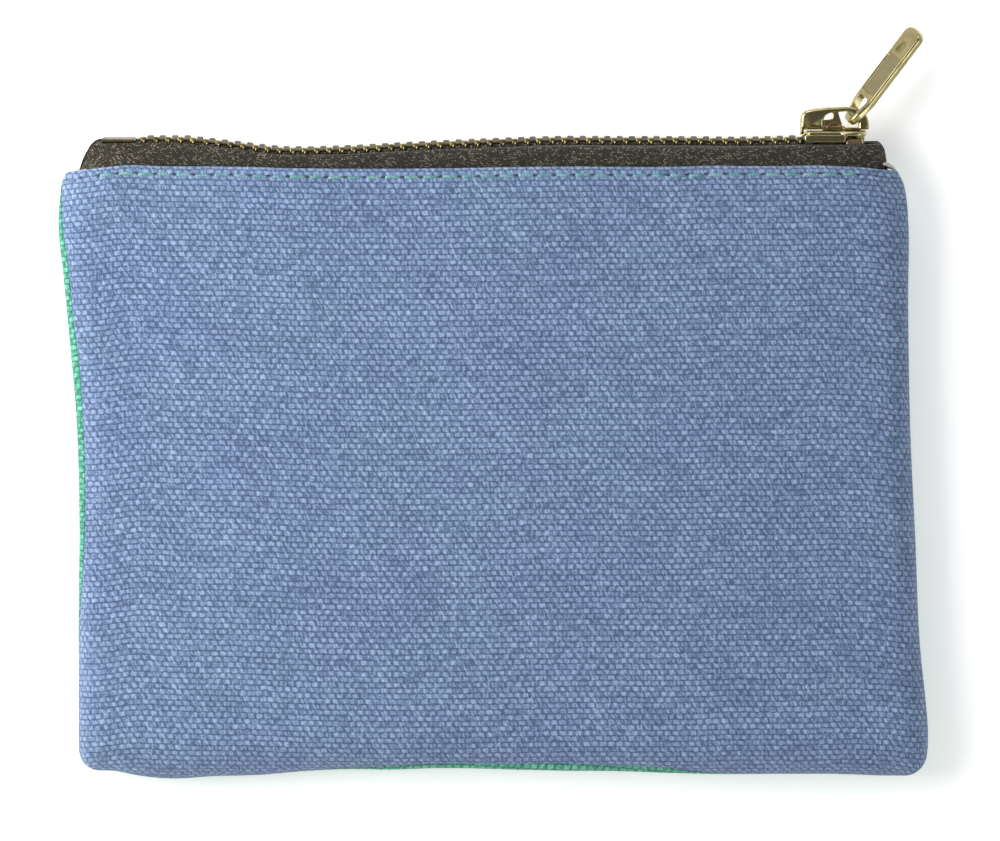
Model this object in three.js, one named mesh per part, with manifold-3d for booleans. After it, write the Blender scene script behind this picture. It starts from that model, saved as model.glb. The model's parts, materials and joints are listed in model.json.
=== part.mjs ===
// A flat zippered pouch of cotton canvas, lying on its back panel and zipped shut.
// Millimetres, +Z up. +X runs along the zipper towards its closed end, +Y from the bottom seam
// to the zipper, and the origin is on the resting face, in the middle of the back panel.
//
// The canvas, the zipper tapes and the topstitching are layers of one cushion shape, and the lining
// is a smaller cushion inside it. The zipper has a frame of its own, in which the chain lies in the
// XZ plane, +Y points out of the pouch and +Z towards the front panel.
import * as THREE from "three";
import { mergeVertices } from "three/addons/utils/BufferGeometryUtils.js";
import Module from "manifold-3d";

const wasm = await Module();
wasm.setup();

// ---- Pouch ----
const GAP = 0.3; // clearance between pieces that lie against each other
const HALF_WIDTH = 70.9;
const BOTTOM_Y = -50.8;
const FOLD_Y = 51.0; // the canvas is turned in here, below the zipper
const SKEW = 0.037; // how far the sides lean to -X for each millimetre of +Y
const HALF_THICKNESS = 6.0;
const EDGE_ROLL = 6.0; // radius of the rolled side and bottom edges
const CORNER = 0.4; // radius left at the outline's corners where the roll begins
const CANVAS = 0.8;
const SEAM_ALLOWANCE = 7.0;
const MID_Z = HALF_THICKNESS;
const FAR = 90; // beyond the pouch in every direction

// ---- Lining ----
const LINING = 0.3;
const LINING_INSET = 8.5; // how much smaller than the canvas the lining bag is, on each side
const LINING_TOP_Y = 50.0;
const LINING_SINK = 1.8; // below the outer surface, under the canvas and the tape
const LINING_ROLL = HALF_THICKNESS - LINING_SINK;

// ---- Zipper ----
const CHAIN_Y = 54.9;
const CHAIN_LEAN = THREE.MathUtils.degToRad(8); // the chain's outer face leans towards the front
const TAPE = 0.4;
const TAPE_SINK = CANVAS + GAP;
const TAPE_LOW_Y = 45.0;
const TAPE_INNER_Z = 2.55; // the tape leaves the teeth here, in the zipper's frame
const TAPE_END_INNER_Z = 0.45; // past the stops the two tapes close up
const TOOTH_PITCH = 2.09;
const FIRST_TOOTH_X = -59.2;
const FRONT_TEETH = 57;
const BACK_TEETH = 56;
const TOOTH_HALF_HEIGHT = 1.2;
const JAW = { inner: 0.95, outer: 2.25, halfWidth: 0.55 };
const HEAD = { tip: -0.8, halfWidth: 0.42 };
const BEAD = { inner: 1.25, outer: 2.05, halfHeight: 0.4 };
const BOTTOM_STOP = { left: -65.5, right: -60.5, halfHeight: 1.1, halfDepth: 2.3 };
const TOP_STOP = { left: 59.4, right: 62.3, halfHeight: 1.0, inner: 1.05, outer: 2.3 };

// ---- Slider, along its own X from its rear end, which faces the closed chain ----
const SLIDER_REAR_X = 52.3;
const WING = { rear: 0.3, waist: 6.2, flare: 7.4, shoulder: 8.4, mouth: 10.6, low: 1.55, thick: 0.8 };
const WING_HALF = { rear: 3.35, mouth: 3.8, nose: 1.4, corner: 0.8 };
const WING_TOP = WING.low + WING.thick;
const FLANGE = { rear: 0.3, front: 7.0, low: 0.45, thick: 0.7, corner: 0.5 };
const POST = { rear: 7.4, front: 10.4, halfWidth: 0.7 };
const CAP = { rear: -0.6, front: 11.1, halfDepth: 1.0, wall: 1.0, rearTop: 5.5, frontTop: 6.6 };
const CAP_WINDOW = { rear: 3.4, front: 10.1, top: 5.0, foot: WING_TOP + GAP };
const SPRING = { rear: CAP_WINDOW.rear + GAP, front: 6.4, rise: 3.85, thick: 0.35, halfDepth: 0.6 };

// ---- Pull tab, along its own X from the hinge ----
const HINGE = { x: 8.1, y: 3.85 };
const PULL_ANGLE = THREE.MathUtils.degToRad(50.5);
const PULL_TWIST = THREE.MathUtils.degToRad(15);
const PULL = { root: -0.6, tip: 18.8, halfWidth: 2.5, thick: 1.4, tipRadius: 1.5 };
const EYE = { start: 0.65, end: 4.5, halfWidth: 1.5 };
const PANEL_RECESS = { start: 5.6, end: 12.9, halfWidth: 1.6, depth: 0.35 };
const TIP_SLOT = { start: 13.6, end: 16.0, halfWidth: 1.3 };

// ---- Stitching ----
const THREAD = 0.25;
const TOPSTITCH = { left: -66.8, right: 63.3, y: 49.5 };
const SEAM_THREAD_INSET = 1.6;

const materials = {
  blueCanvas: new THREE.MeshStandardMaterial({ color: 0x7b90c0, roughness: 0.9, metalness: 0 }),
  greenCanvas: new THREE.MeshStandardMaterial({ color: 0x55b98c, roughness: 0.9, metalness: 0 }),
  liningCotton: new THREE.MeshStandardMaterial({ color: 0xdcd9d0, roughness: 0.9, metalness: 0 }),
  zipperTape: new THREE.MeshStandardMaterial({ color: 0x4a4136, roughness: 0.85, metalness: 0 }),
  tealThread: new THREE.MeshStandardMaterial({ color: 0x6fb5ae, roughness: 0.6, metalness: 0 }),
  whiteThread: new THREE.MeshStandardMaterial({ color: 0xe6e3da, roughness: 0.6, metalness: 0 }),
  toothBrass: new THREE.MeshStandardMaterial({ color: 0x8f7d3c, roughness: 0.4, metalness: 1 }),
  paleGold: new THREE.MeshStandardMaterial({ color: 0xc9bd7c, roughness: 0.15, metalness: 1 }),
  springBrass: new THREE.MeshStandardMaterial({ color: 0xa98d4a, roughness: 0.3, metalness: 1 }),
};

// ---- Geometry helpers ----

// A closed three.js geometry as a solid that can be cut and joined.
function solid(geometry) {
  const bare = geometry.clone();
  bare.deleteAttribute("normal");
  bare.deleteAttribute("uv");
  const merged = mergeVertices(bare, 1e-4);
  return new wasm.Manifold(
    new wasm.Mesh({
      numProp: 3,
      vertProperties: merged.attributes.position.array,
      triVerts: new Uint32Array(merged.index.array),
    }),
  );
}

function mesh(name, body, material) {
  const made = body.getMesh();
  const geometry = new THREE.BufferGeometry();
  geometry.setAttribute("position", new THREE.BufferAttribute(made.vertProperties, 3));
  geometry.setIndex(new THREE.BufferAttribute(made.triVerts, 1));
  geometry.computeVertexNormals();
  const piece = new THREE.Mesh(geometry, material);
  piece.name = name;
  return piece;
}

// A box between two corners, given in any order on each axis.
function block(x0, x1, y0, y1, z0, z1) {
  const geometry = new THREE.BoxGeometry(Math.abs(x1 - x0), Math.abs(y1 - y0), Math.abs(z1 - z0));
  return solid(geometry.translate((x0 + x1) / 2, (y0 + y1) / 2, (z0 + z1) / 2));
}

// A shape of the XY plane, extruded from z0 to z1.
function slab(shape, z0, z1, curveSegments = 4) {
  const options = { depth: z1 - z0, bevelEnabled: false, curveSegments };
  return solid(new THREE.ExtrudeGeometry(shape, options).translate(0, 0, z0));
}

// A shape drawn in X and Z, extruded from y0 to y1.
function slabOnY(shape, y0, y1, curveSegments = 4) {
  const options = { depth: y1 - y0, bevelEnabled: false, curveSegments };
  const geometry = new THREE.ExtrudeGeometry(shape, options).rotateX(Math.PI / 2);
  return solid(geometry.translate(0, y1, 0));
}

// Two values, the lower one first.
const ordered = (a, b) => [Math.min(a, b), Math.max(a, b)];

// A rectangle with rounded corners.
function roundedRectangle(x0, x1, y0, y1, radius) {
  const shape = new THREE.Shape();
  shape.moveTo(x0 + radius, y0);
  shape.lineTo(x1 - radius, y0).absarc(x1 - radius, y0 + radius, radius, -Math.PI / 2, 0);
  shape.lineTo(x1, y1 - radius).absarc(x1 - radius, y1 - radius, radius, 0, Math.PI / 2);
  shape.lineTo(x0 + radius, y1).absarc(x0 + radius, y1 - radius, radius, Math.PI / 2, Math.PI);
  shape.lineTo(x0, y0 + radius).absarc(x0 + radius, y0 + radius, radius, Math.PI, 1.5 * Math.PI);
  return shape;
}

const zipperMatrix = new THREE.Matrix4()
  .makeRotationX(CHAIN_LEAN)
  .setPosition(0, CHAIN_Y, MID_Z);

// A box given in the zipper's frame, as a solid in the pouch's frame.
function zipperBlock(x0, x1, y0, y1, z0, z1) {
  const geometry = new THREE.BoxGeometry(Math.abs(x1 - x0), Math.abs(y1 - y0), Math.abs(z1 - z0));
  geometry.translate((x0 + x1) / 2, (y0 + y1) / 2, (z0 + z1) / 2);
  return solid(geometry.applyMatrix4(zipperMatrix));
}

// ---- The cushion shape ----

// The pouch's outline drawn in by inset, open-ended at the top: it runs on past the zipper. The
// bottom corners have a radius of roll and the corner that is left inside it.
function outline(inset, roll) {
  const radius = roll + CORNER;
  const low = BOTTOM_Y + inset;
  const side = (sign, y) => sign * (HALF_WIDTH - inset) - SKEW * y;
  const shape = new THREE.Shape();
  shape.moveTo(side(-1, FAR), FAR);
  shape.lineTo(side(-1, low + radius), low + radius);
  shape.quadraticCurveTo(side(-1, low), low, side(-1, low) + radius, low);
  shape.lineTo(side(1, low) - radius, low);
  shape.quadraticCurveTo(side(1, low), low, side(1, low + radius), low + radius);
  shape.lineTo(side(1, FAR), FAR);
  return shape;
}

// A cushion with rolled edges. Its widest line is at the pouch's outline drawn in by inset, and it
// stands halfHeight to each side of the seam plane.
function cushionOf(inset, halfHeight, roll) {
  const flat = 0.1;
  const geometry = new THREE.ExtrudeGeometry(outline(inset + roll, 0), {
    depth: flat,
    curveSegments: 4,
    bevelSegments: 5,
    bevelSize: roll,
    bevelThickness: halfHeight - flat / 2,
  });
  return solid(geometry.translate(0, 0, MID_Z - flat / 2));
}

// The cushion whose surface lies a distance of sink inside the pouch's outer surface.
const cushion = (sink) => cushionOf(sink, HALF_THICKNESS - sink, EDGE_ROLL - sink);

// Everything on one side of the seam plane: 1 is the front and -1 the back.
const half = (side) => block(-FAR, FAR, -FAR, FAR, MID_Z + (side * GAP) / 2, MID_Z + side * FAR);
const below = (y) => block(-FAR, FAR, -FAR, y, -FAR, FAR);

// A band of the cushion's surface along the topstitching, from sink0 to sink1 below the surface.
function stitchBand(side, sink0, sink1, margin) {
  const band = block(
    TOPSTITCH.left - margin,
    TOPSTITCH.right + margin,
    TOPSTITCH.y - THREAD / 2 - margin,
    TOPSTITCH.y + THREAD / 2 + margin,
    -FAR,
    FAR,
  );
  return cushion(sink0).subtract(cushion(sink1)).intersect(band).intersect(half(side));
}

// ---- Soft pieces ----

// One canvas panel: a dish with its seam allowance turned in along the seam plane, and a furrow
// where the topstitching pulls the canvas down.
function canvasPanel(side) {
  const dish = cushion(0).subtract(cushion(CANVAS)).intersect(half(side));
  const seam = MID_Z + (side * GAP) / 2;
  const [low, high] = side > 0 ? [seam, seam + CANVAS] : [seam - CANVAS, seam];
  const edge = CANVAS / 2;
  const allowance = slab(outline(edge, EDGE_ROLL - edge), low, high).subtract(
    slab(outline(SEAM_ALLOWANCE, 0), low - 1, high + 1),
  );
  const furrow = stitchBand(side, -GAP, THREAD + GAP, GAP);
  return dish.add(allowance).intersect(below(FOLD_Y)).subtract(furrow);
}

function liningPanel(side) {
  const outside = cushionOf(LINING_INSET, LINING_ROLL, LINING_ROLL);
  const innerRoll = LINING_ROLL - LINING;
  const inside = cushionOf(LINING_INSET + LINING, innerRoll, innerRoll);
  return outside.subtract(inside).intersect(half(side)).intersect(below(LINING_TOP_Y));
}

// One zipper tape: flat beside the teeth, then turned down under the fold of the canvas. Its ends
// slope in towards the side seams.
function zipperTape(side) {
  const ends = new THREE.Shape();
  ends.moveTo(-69.7, TAPE_LOW_Y);
  ends.lineTo(66.2, TAPE_LOW_Y);
  ends.lineTo(66.2, 53.6);
  ends.lineTo(64.6, FAR);
  ends.lineTo(-66.6, FAR);
  ends.lineTo(-66.9, 55.6);
  ends.quadraticCurveTo(-68.4, 54.6, -69.7, 50.6);
  const skirt = cushion(TAPE_SINK).subtract(cushion(TAPE_SINK + TAPE));
  const flat = (x0, x1, inner) =>
    zipperBlock(x0, x1, -TAPE / 2, TAPE / 2, side * inner, side * HALF_THICKNESS);
  return skirt
    .intersect(zipperBlock(-FAR, FAR, -FAR, TAPE / 2, -FAR, FAR))
    .add(flat(-FAR, FAR, TAPE_INNER_Z))
    .add(flat(-FAR, BOTTOM_STOP.left - GAP, TAPE_END_INNER_Z))
    .add(flat(TOP_STOP.right + 3 * GAP, FAR, TAPE_END_INNER_Z))
    .intersect(cushion(TAPE_SINK))
    .intersect(half(side))
    .intersect(slab(ends, -FAR, FAR));
}

// The lockstitch that joins the two canvas panels, lying on the front seam allowance.
function perimeterSeamThread() {
  const low = MID_Z + GAP / 2 + CANVAS + GAP;
  const roll = EDGE_ROLL - SEAM_THREAD_INSET;
  return slab(outline(SEAM_THREAD_INSET, roll), low, low + THREAD)
    .subtract(slab(outline(SEAM_THREAD_INSET + THREAD, roll - THREAD), low - 1, low + 1))
    .intersect(below(FOLD_Y - 1));
}

// The lockstitch that closes the lining bag, inside it along the seam plane.
function liningSeamThread() {
  const inset = LINING_INSET + LINING + GAP;
  const roll = LINING_ROLL - LINING - GAP;
  return slab(outline(inset, roll), MID_Z - THREAD / 2, MID_Z + THREAD / 2)
    .subtract(slab(outline(inset + THREAD, roll - THREAD), MID_Z - 1, MID_Z + 1))
    .intersect(below(LINING_TOP_Y - 1));
}

// ---- Chain, in the zipper's frame ----

// One row of teeth on its bead. Each tooth has a jaw closed on the bead and a narrower head, which
// sits between two heads of the other row.
function toothRow(side, firstX, count) {
  const tooth = new THREE.Shape();
  const { inner, outer } = JAW;
  tooth.moveTo(-HEAD.halfWidth, side * HEAD.tip);
  tooth.lineTo(HEAD.halfWidth, side * HEAD.tip);
  tooth.lineTo(HEAD.halfWidth, side * inner * 0.7);
  tooth.lineTo(JAW.halfWidth, side * inner);
  tooth.lineTo(JAW.halfWidth, side * outer);
  tooth.lineTo(-JAW.halfWidth, side * outer);
  tooth.lineTo(-JAW.halfWidth, side * inner);
  tooth.lineTo(-HEAD.halfWidth, side * inner * 0.7);
  const one = slabOnY(tooth, -TOOTH_HALF_HEIGHT, TOOTH_HALF_HEIGHT);
  const lastX = firstX + (count - 1) * TOOTH_PITCH;
  const { halfHeight } = BEAD;
  let row = block(firstX, lastX, -halfHeight, halfHeight, side * BEAD.inner, side * BEAD.outer);
  for (let k = 0; k < count; k++) row = row.add(one.translate(firstX + k * TOOTH_PITCH, 0, 0));
  return row;
}

// The clamp that holds the two rows together at the closed end of the chain's travel.
function bottomStop() {
  const { left, right, halfHeight, halfDepth } = BOTTOM_STOP;
  const profile = roundedRectangle(-halfDepth, halfDepth, -halfHeight, halfHeight, 0.45);
  const options = { depth: right - left, bevelEnabled: false, curveSegments: 3 };
  const geometry = new THREE.ExtrudeGeometry(profile, options).rotateY(Math.PI / 2);
  return solid(geometry.translate(left, 0, 0));
}

// A small clip on one tape's bead, which stops the slider at its mouth.
function topStop(side) {
  const { left, right, halfHeight, inner, outer } = TOP_STOP;
  const profile = roundedRectangle(left, right, -halfHeight, halfHeight, 0.5);
  return slab(profile, ...ordered(side * inner, side * outer));
}

// ---- Slider, in the zipper's frame, measured from its rear end ----

// The outline of a wing: narrow at the rear, where it holds the closed chain, and wide at the mouth.
function wingShape() {
  const { rear, waist, flare, shoulder, mouth } = WING;
  const { corner, nose } = WING_HALF;
  const shape = new THREE.Shape();
  shape.moveTo(rear + corner, -WING_HALF.rear);
  shape.lineTo(waist, -WING_HALF.rear);
  shape.quadraticCurveTo(flare, -WING_HALF.mouth, shoulder, -WING_HALF.mouth);
  shape.quadraticCurveTo(mouth, -WING_HALF.mouth, mouth, -nose);
  shape.lineTo(mouth, nose);
  shape.quadraticCurveTo(mouth, WING_HALF.mouth, shoulder, WING_HALF.mouth);
  shape.quadraticCurveTo(flare, WING_HALF.mouth, waist, WING_HALF.rear);
  shape.lineTo(rear + corner, WING_HALF.rear);
  shape.quadraticCurveTo(rear, WING_HALF.rear, rear, WING_HALF.rear - corner);
  shape.lineTo(rear, -WING_HALF.rear + corner);
  shape.quadraticCurveTo(rear, -WING_HALF.rear, rear + corner, -WING_HALF.rear);
  return shape;
}

// Two wings joined by the post that parts the rows, with flanges that keep the rows in.
function sliderBody() {
  const middle = (POST.rear + POST.front) / 2;
  const post = new THREE.Shape();
  post.moveTo(POST.rear, 0);
  post.lineTo(middle, -POST.halfWidth);
  post.lineTo(POST.front, -POST.halfWidth / 2);
  post.lineTo(POST.front, POST.halfWidth / 2);
  post.lineTo(middle, POST.halfWidth);
  const insideWing = WING.low + WING.thick / 2;
  let body = slabOnY(post, -insideWing, insideWing);
  for (const up of [1, -1]) {
    body = body.add(slabOnY(wingShape(), ...ordered(up * WING.low, up * WING_TOP)));
    const skirt = ordered(up * FLANGE.low, up * insideWing);
    const profile = roundedRectangle(FLANGE.rear, FLANGE.front, ...skirt, FLANGE.corner);
    for (const side of [1, -1]) {
      const edge = ordered(side * (WING_HALF.rear - FLANGE.thick), side * WING_HALF.rear);
      body = body.add(slab(profile, ...edge, 3));
    }
  }
  return body;
}

// The arched cap over the upper wing, which the pull tab hangs from. Its broad rear leg reaches down
// through the open end of the wing, and its front leg stops just above the wing.
function sliderCap() {
  const { rear, front, halfDepth, wall, rearTop, frontTop } = CAP;
  const { foot, top } = CAP_WINDOW;
  const arch = new THREE.Shape();
  arch.moveTo(rear, WING.low);
  arch.lineTo(rear, rearTop - wall);
  arch.quadraticCurveTo(rear, rearTop, rear + 1.6 * wall, rearTop + 0.2);
  arch.lineTo(8.2, frontTop - 0.1);
  arch.quadraticCurveTo(front, frontTop + 0.1, front, 4.9);
  arch.lineTo(front - 0.1, foot);
  arch.lineTo(front - 0.1 - wall, foot);
  arch.lineTo(CAP_WINDOW.front, 4.8);
  arch.quadraticCurveTo(CAP_WINDOW.front, frontTop - wall, 8.4, frontTop - wall);
  arch.lineTo(CAP_WINDOW.rear + 1.4, top + 0.1);
  arch.quadraticCurveTo(CAP_WINDOW.rear, top - 0.1, CAP_WINDOW.rear, top - wall);
  arch.lineTo(CAP_WINDOW.rear, foot);
  arch.lineTo(0, foot);
  arch.lineTo(0, WING.low);
  return slab(arch, -halfDepth, halfDepth, 5);
}

// The bowed leaf under the cap, whose claw locks the chain when the pull tab is let go.
function lockSpring() {
  const { rear, front, rise, thick, halfDepth } = SPRING;
  const middle = (rear + front) / 2;
  const { foot } = CAP_WINDOW;
  const leaf = new THREE.Shape();
  leaf.moveTo(rear, foot);
  leaf.quadraticCurveTo(middle, rise + thick, front, foot);
  leaf.lineTo(front - thick, foot);
  leaf.quadraticCurveTo(middle, rise - thick, rear + thick, foot);
  return slab(leaf, -halfDepth, halfDepth, 6);
}

// A flat bar with an eye round the cap, a sunk panel on each face and a slot near its tip.
function pullTab() {
  const { root, tip, halfWidth, thick, tipRadius } = PULL;
  const bar = new THREE.Shape();
  bar.moveTo(root, -0.9);
  bar.quadraticCurveTo(root + 0.3, -halfWidth, root + 2.6, -halfWidth);
  bar.lineTo(tip - tipRadius, -halfWidth);
  bar.quadraticCurveTo(tip, -halfWidth, tip, 0);
  bar.quadraticCurveTo(tip, halfWidth, tip - tipRadius, halfWidth);
  bar.lineTo(root + 2.6, halfWidth);
  bar.quadraticCurveTo(root + 0.3, halfWidth, root, 0.9);
  const hole = ({ start, end, halfWidth: reach }, radius) =>
    roundedRectangle(start, end, -reach, reach, radius);
  let tab = slabOnY(bar, -thick / 2, thick / 2)
    .subtract(slabOnY(hole(EYE, 0.6), -thick, thick, 3))
    .subtract(slabOnY(hole(TIP_SLOT, 0.6), -thick, thick, 3));
  for (const [y0, y1] of [
    [thick / 2 - PANEL_RECESS.depth, thick],
    [-thick, -thick / 2 + PANEL_RECESS.depth],
  ])
    tab = tab.subtract(slabOnY(hole(PANEL_RECESS, 0.5), y0, y1, 3));
  return tab;
}

// ---- Assembly ----
const pouch = new THREE.Group();
const { blueCanvas, greenCanvas, liningCotton, zipperTape: tapeCloth } = materials;
pouch.add(
  mesh("front_panel", canvasPanel(1), blueCanvas),
  mesh("back_panel", canvasPanel(-1), greenCanvas),
  mesh("front_lining", liningPanel(1), liningCotton),
  mesh("back_lining", liningPanel(-1), liningCotton),
  mesh("front_tape", zipperTape(1), tapeCloth),
  mesh("back_tape", zipperTape(-1), tapeCloth),
  mesh("front_topstitch", stitchBand(1, 0, THREAD, 0), materials.tealThread),
  mesh("back_topstitch", stitchBand(-1, 0, THREAD, 0), materials.tealThread),
  mesh("perimeter_seam_thread", perimeterSeamThread(), materials.whiteThread),
  mesh("lining_seam_thread", liningSeamThread(), materials.whiteThread),
);

const zipper = new THREE.Group();
zipper.position.set(0, CHAIN_Y, MID_Z);
zipper.rotation.x = CHAIN_LEAN;
const halfPitch = TOOTH_PITCH / 2;
zipper.add(
  mesh("front_teeth", toothRow(1, FIRST_TOOTH_X, FRONT_TEETH), materials.toothBrass),
  mesh("back_teeth", toothRow(-1, FIRST_TOOTH_X + halfPitch, BACK_TEETH), materials.toothBrass),
  mesh("bottom_stop", bottomStop(), materials.toothBrass),
  mesh("front_top_stop", topStop(1), materials.toothBrass),
  mesh("back_top_stop", topStop(-1), materials.toothBrass),
);
pouch.add(zipper);

const slider = new THREE.Group();
slider.position.x = SLIDER_REAR_X;
slider.add(
  mesh("slider_body", sliderBody(), materials.paleGold),
  mesh("slider_cap", sliderCap(), materials.paleGold),
  mesh("lock_spring", lockSpring(), materials.springBrass),
);
zipper.add(slider);

const hinge = new THREE.Group();
hinge.position.set(HINGE.x, HINGE.y, 0);
hinge.rotation.z = PULL_ANGLE;
const tab = mesh("pull_tab", pullTab(), materials.paleGold);
tab.rotation.x = PULL_TWIST;
hinge.add(tab);
slider.add(hinge);

export default pouch;
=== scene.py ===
"""Looks of a flat canvas pouch with a metal zipper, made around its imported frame.

Lengths inside the classes are in millimetres and are turned into metres where a mesh is made. The
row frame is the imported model's: +X along the zipper towards its closed end, +Y from the bottom seam
to the zipper, +Z up through the front panel, and z = 0 on the surface that the pouch lies on.
"""

from __future__ import annotations

import json
import logging
import math
from collections.abc import Callable, Sequence
from dataclasses import dataclass, field
from enum import Enum

import bmesh
import bpy
import numpy as np
from mathutils import Matrix, Vector


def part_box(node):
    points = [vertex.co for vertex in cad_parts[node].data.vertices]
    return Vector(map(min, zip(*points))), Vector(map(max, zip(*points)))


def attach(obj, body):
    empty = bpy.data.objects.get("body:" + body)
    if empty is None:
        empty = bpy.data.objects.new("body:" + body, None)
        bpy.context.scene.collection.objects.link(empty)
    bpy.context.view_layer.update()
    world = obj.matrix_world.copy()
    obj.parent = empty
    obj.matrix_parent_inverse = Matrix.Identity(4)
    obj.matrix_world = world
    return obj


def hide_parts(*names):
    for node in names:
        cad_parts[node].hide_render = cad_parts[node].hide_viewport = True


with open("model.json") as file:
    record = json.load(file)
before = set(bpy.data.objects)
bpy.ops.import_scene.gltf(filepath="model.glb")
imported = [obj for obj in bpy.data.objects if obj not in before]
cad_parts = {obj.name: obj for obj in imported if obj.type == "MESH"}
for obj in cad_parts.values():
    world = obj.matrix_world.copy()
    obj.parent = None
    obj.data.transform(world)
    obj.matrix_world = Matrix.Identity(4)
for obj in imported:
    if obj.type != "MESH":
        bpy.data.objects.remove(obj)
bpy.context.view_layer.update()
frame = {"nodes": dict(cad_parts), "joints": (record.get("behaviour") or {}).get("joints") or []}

MM = 0.001
POUCH, SLIDER, PULL = "pouch", "slider", "pull"
CLOTH_UV = "cloth"
log = logging.getLogger("pouch")

Colour = tuple[float, float, float]
Pair = tuple[float, float]
Face = tuple[int, ...]
Array = np.ndarray
Curve = Callable[[Array], Array]
Shape = bmesh.types.BMesh
Piece = bpy.types.Object
Material = bpy.types.Material
Tree = bpy.types.NodeTree
Node = bpy.types.Node
Socket = bpy.types.NodeSocket
Feed = float | Sequence[float] | Socket


class Side(Enum):
    """Which half of the pouch a piece belongs to."""

    FRONT = 1
    BACK = -1

    @property
    def word(self) -> str:
        """The side's name as it stands in node names."""
        return self.name.lower()


# ---- Numbers and curves ----


def smooth_curve(points: Sequence[Pair]) -> Curve:
    """Make a smooth function through a few points.

    Args:
        points: (where, value) pairs in rising order.

    Returns:
        A function of an array, level beyond the first and last points.
    """
    at, value = np.array(points, float).T
    slope = np.gradient(value, at)

    def curve(where: Array) -> Array:
        """Return the curve's values by cubic steps between its points.

        Args:
            where: places.

        Returns:
            The curve's value at each place.
        """
        where = np.clip(where, at[0], at[-1])
        i = np.clip(np.searchsorted(at, where) - 1, 0, len(at) - 2)
        step = at[i + 1] - at[i]
        t = (where - at[i]) / step
        rise = value[i + 1] - value[i]
        blend = t * t * (3 - 2 * t)
        bend = t * (1 - t) * ((1 - t) * slope[i] - t * slope[i + 1]) * step
        return value[i] + rise * blend + bend

    return curve


def smooth_step(low: float, high: float, value: Array) -> Array:
    """Rise smoothly from 0 at low to 1 at high."""
    t = np.clip((np.asarray(value, float) - low) / (high - low), 0, 1)
    return t * t * (3 - 2 * t)


def unit(vectors: Array) -> Array:
    """Scale each vector of an array to length 1."""
    return vectors / np.maximum(np.linalg.norm(vectors, axis=-1, keepdims=True), 1e-9)


@dataclass(frozen=True)
class Ripple:
    """Soft repeatable waves over a plane, about 1 high, whose crests may lean one way."""

    seed: int
    length: float
    lean: float = 0.0
    spread: float = 180.0
    waves: int = 9

    def at(self, x: Array, y: Array) -> Array:
        """Return the waves' height.

        Args:
            x: places along the first axis.
            y: places along the second axis.

        Returns:
            Heights of about -1 to 1, as an array of the same form.
        """
        random = np.random.default_rng(self.seed)
        total = np.zeros(np.broadcast(x, y).shape)
        for _ in range(self.waves):
            angle = math.radians(self.lean + random.uniform(-self.spread, self.spread))
            phase = random.uniform(0, 2 * math.pi)
            turn = 2 * math.pi / (self.length * random.uniform(0.65, 1.6))
            total += np.sin(turn * (x * math.cos(angle) + y * math.sin(angle)) + phase)
        return total / math.sqrt(2 * self.waves)


# ---- Meshes ----


@dataclass
class Cloth:
    """Points, faces and flat cut coordinates of a cloth surface, in millimetres."""

    points: list[Array] = field(default_factory=list)
    flat: list[Array] = field(default_factory=list)
    faces: list[Face] = field(default_factory=list)
    wear: list[Array] = field(default_factory=list)
    count: int = 0

    def add(self, points: Array, flat: Array, wear: Array | float = 0.0) -> Array:
        """Add points and return their numbers.

        Args:
            points: an array of places whose last axis is x, y, z.
            flat: the places' coordinates on the flat cloth.
            wear: how worn each point is, from 0 to 1.

        Returns:
            The points' numbers, in the form of the array without its last axis.
        """
        form = points.shape[:-1]
        total = int(np.prod(form))
        self.points.append(points.reshape(-1, 3))
        self.flat.append(flat.reshape(-1, 2))
        self.wear.append(np.broadcast_to(wear, form).reshape(-1).astype(float))
        numbers = np.arange(self.count, self.count + total).reshape(form)
        self.count += total
        return numbers

    def weave(self, numbers: Array, flip: bool) -> None:
        """Join a lattice of point numbers by four-sided faces.

        Args:
            numbers: a two-dimensional array of point numbers.
            flip: whether the faces' order is turned round.
        """
        a, b = numbers[:-1, :-1].ravel(), numbers[:-1, 1:].ravel()
        c, d = numbers[1:, 1:].ravel(), numbers[1:, :-1].ravel()
        quads = np.stack([a, d, c, b] if flip else [a, b, c, d], axis=1)
        self.faces.extend(map(tuple, quads.tolist()))

    def piece(self, name: str, material: Material, thick: float, fine: int = 1) -> Piece:
        """Make the cloth's object, thickened inwards and smoothed.

        Args:
            name: the object's name.
            material: what it is made of.
            thick: the cloth's thickness.
            fine: how many times its faces are divided.

        Returns:
            The new object.
        """
        piece = mesh_piece(name, np.concatenate(self.points), self.faces, material)
        lay_flat(piece, np.concatenate(self.flat))
        worn = piece.data.attributes.new("wear", "FLOAT", "POINT")
        worn.data.foreach_set("value", np.concatenate(self.wear))
        solid = piece.modifiers.new("thickness", "SOLIDIFY")
        solid.thickness, solid.offset = thick * MM, -1
        if fine:
            smooth = piece.modifiers.new("smooth", "SUBSURF")
            smooth.levels = smooth.render_levels = fine
        return piece


def mesh_piece(
    name: str,
    points: Array,
    faces: Sequence[Face],
    material: Material,
    place: Matrix | None = None,
) -> Piece:
    """Make a smooth-shaded object from points in millimetres.

    Args:
        name: the object's name.
        points: its points, in millimetres.
        faces: point numbers of each face.
        material: what it is made of.
        place: a matrix, in millimetres, that the points go through first.

    Returns:
        The object, linked to the scene.
    """
    points = np.asarray(points, float)
    if place is not None:
        turn = np.array(place)
        points = points @ turn[:3, :3].T + turn[:3, 3]
    mesh = bpy.data.meshes.new(name)
    mesh.from_pydata((points * MM).tolist(), [], list(faces))
    mesh.materials.append(material)
    mesh.polygons.foreach_set("use_smooth", [True] * len(mesh.polygons))
    mesh.validate()
    mesh.update()
    piece = bpy.data.objects.new(name, mesh)
    bpy.context.scene.collection.objects.link(piece)
    return piece


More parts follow.
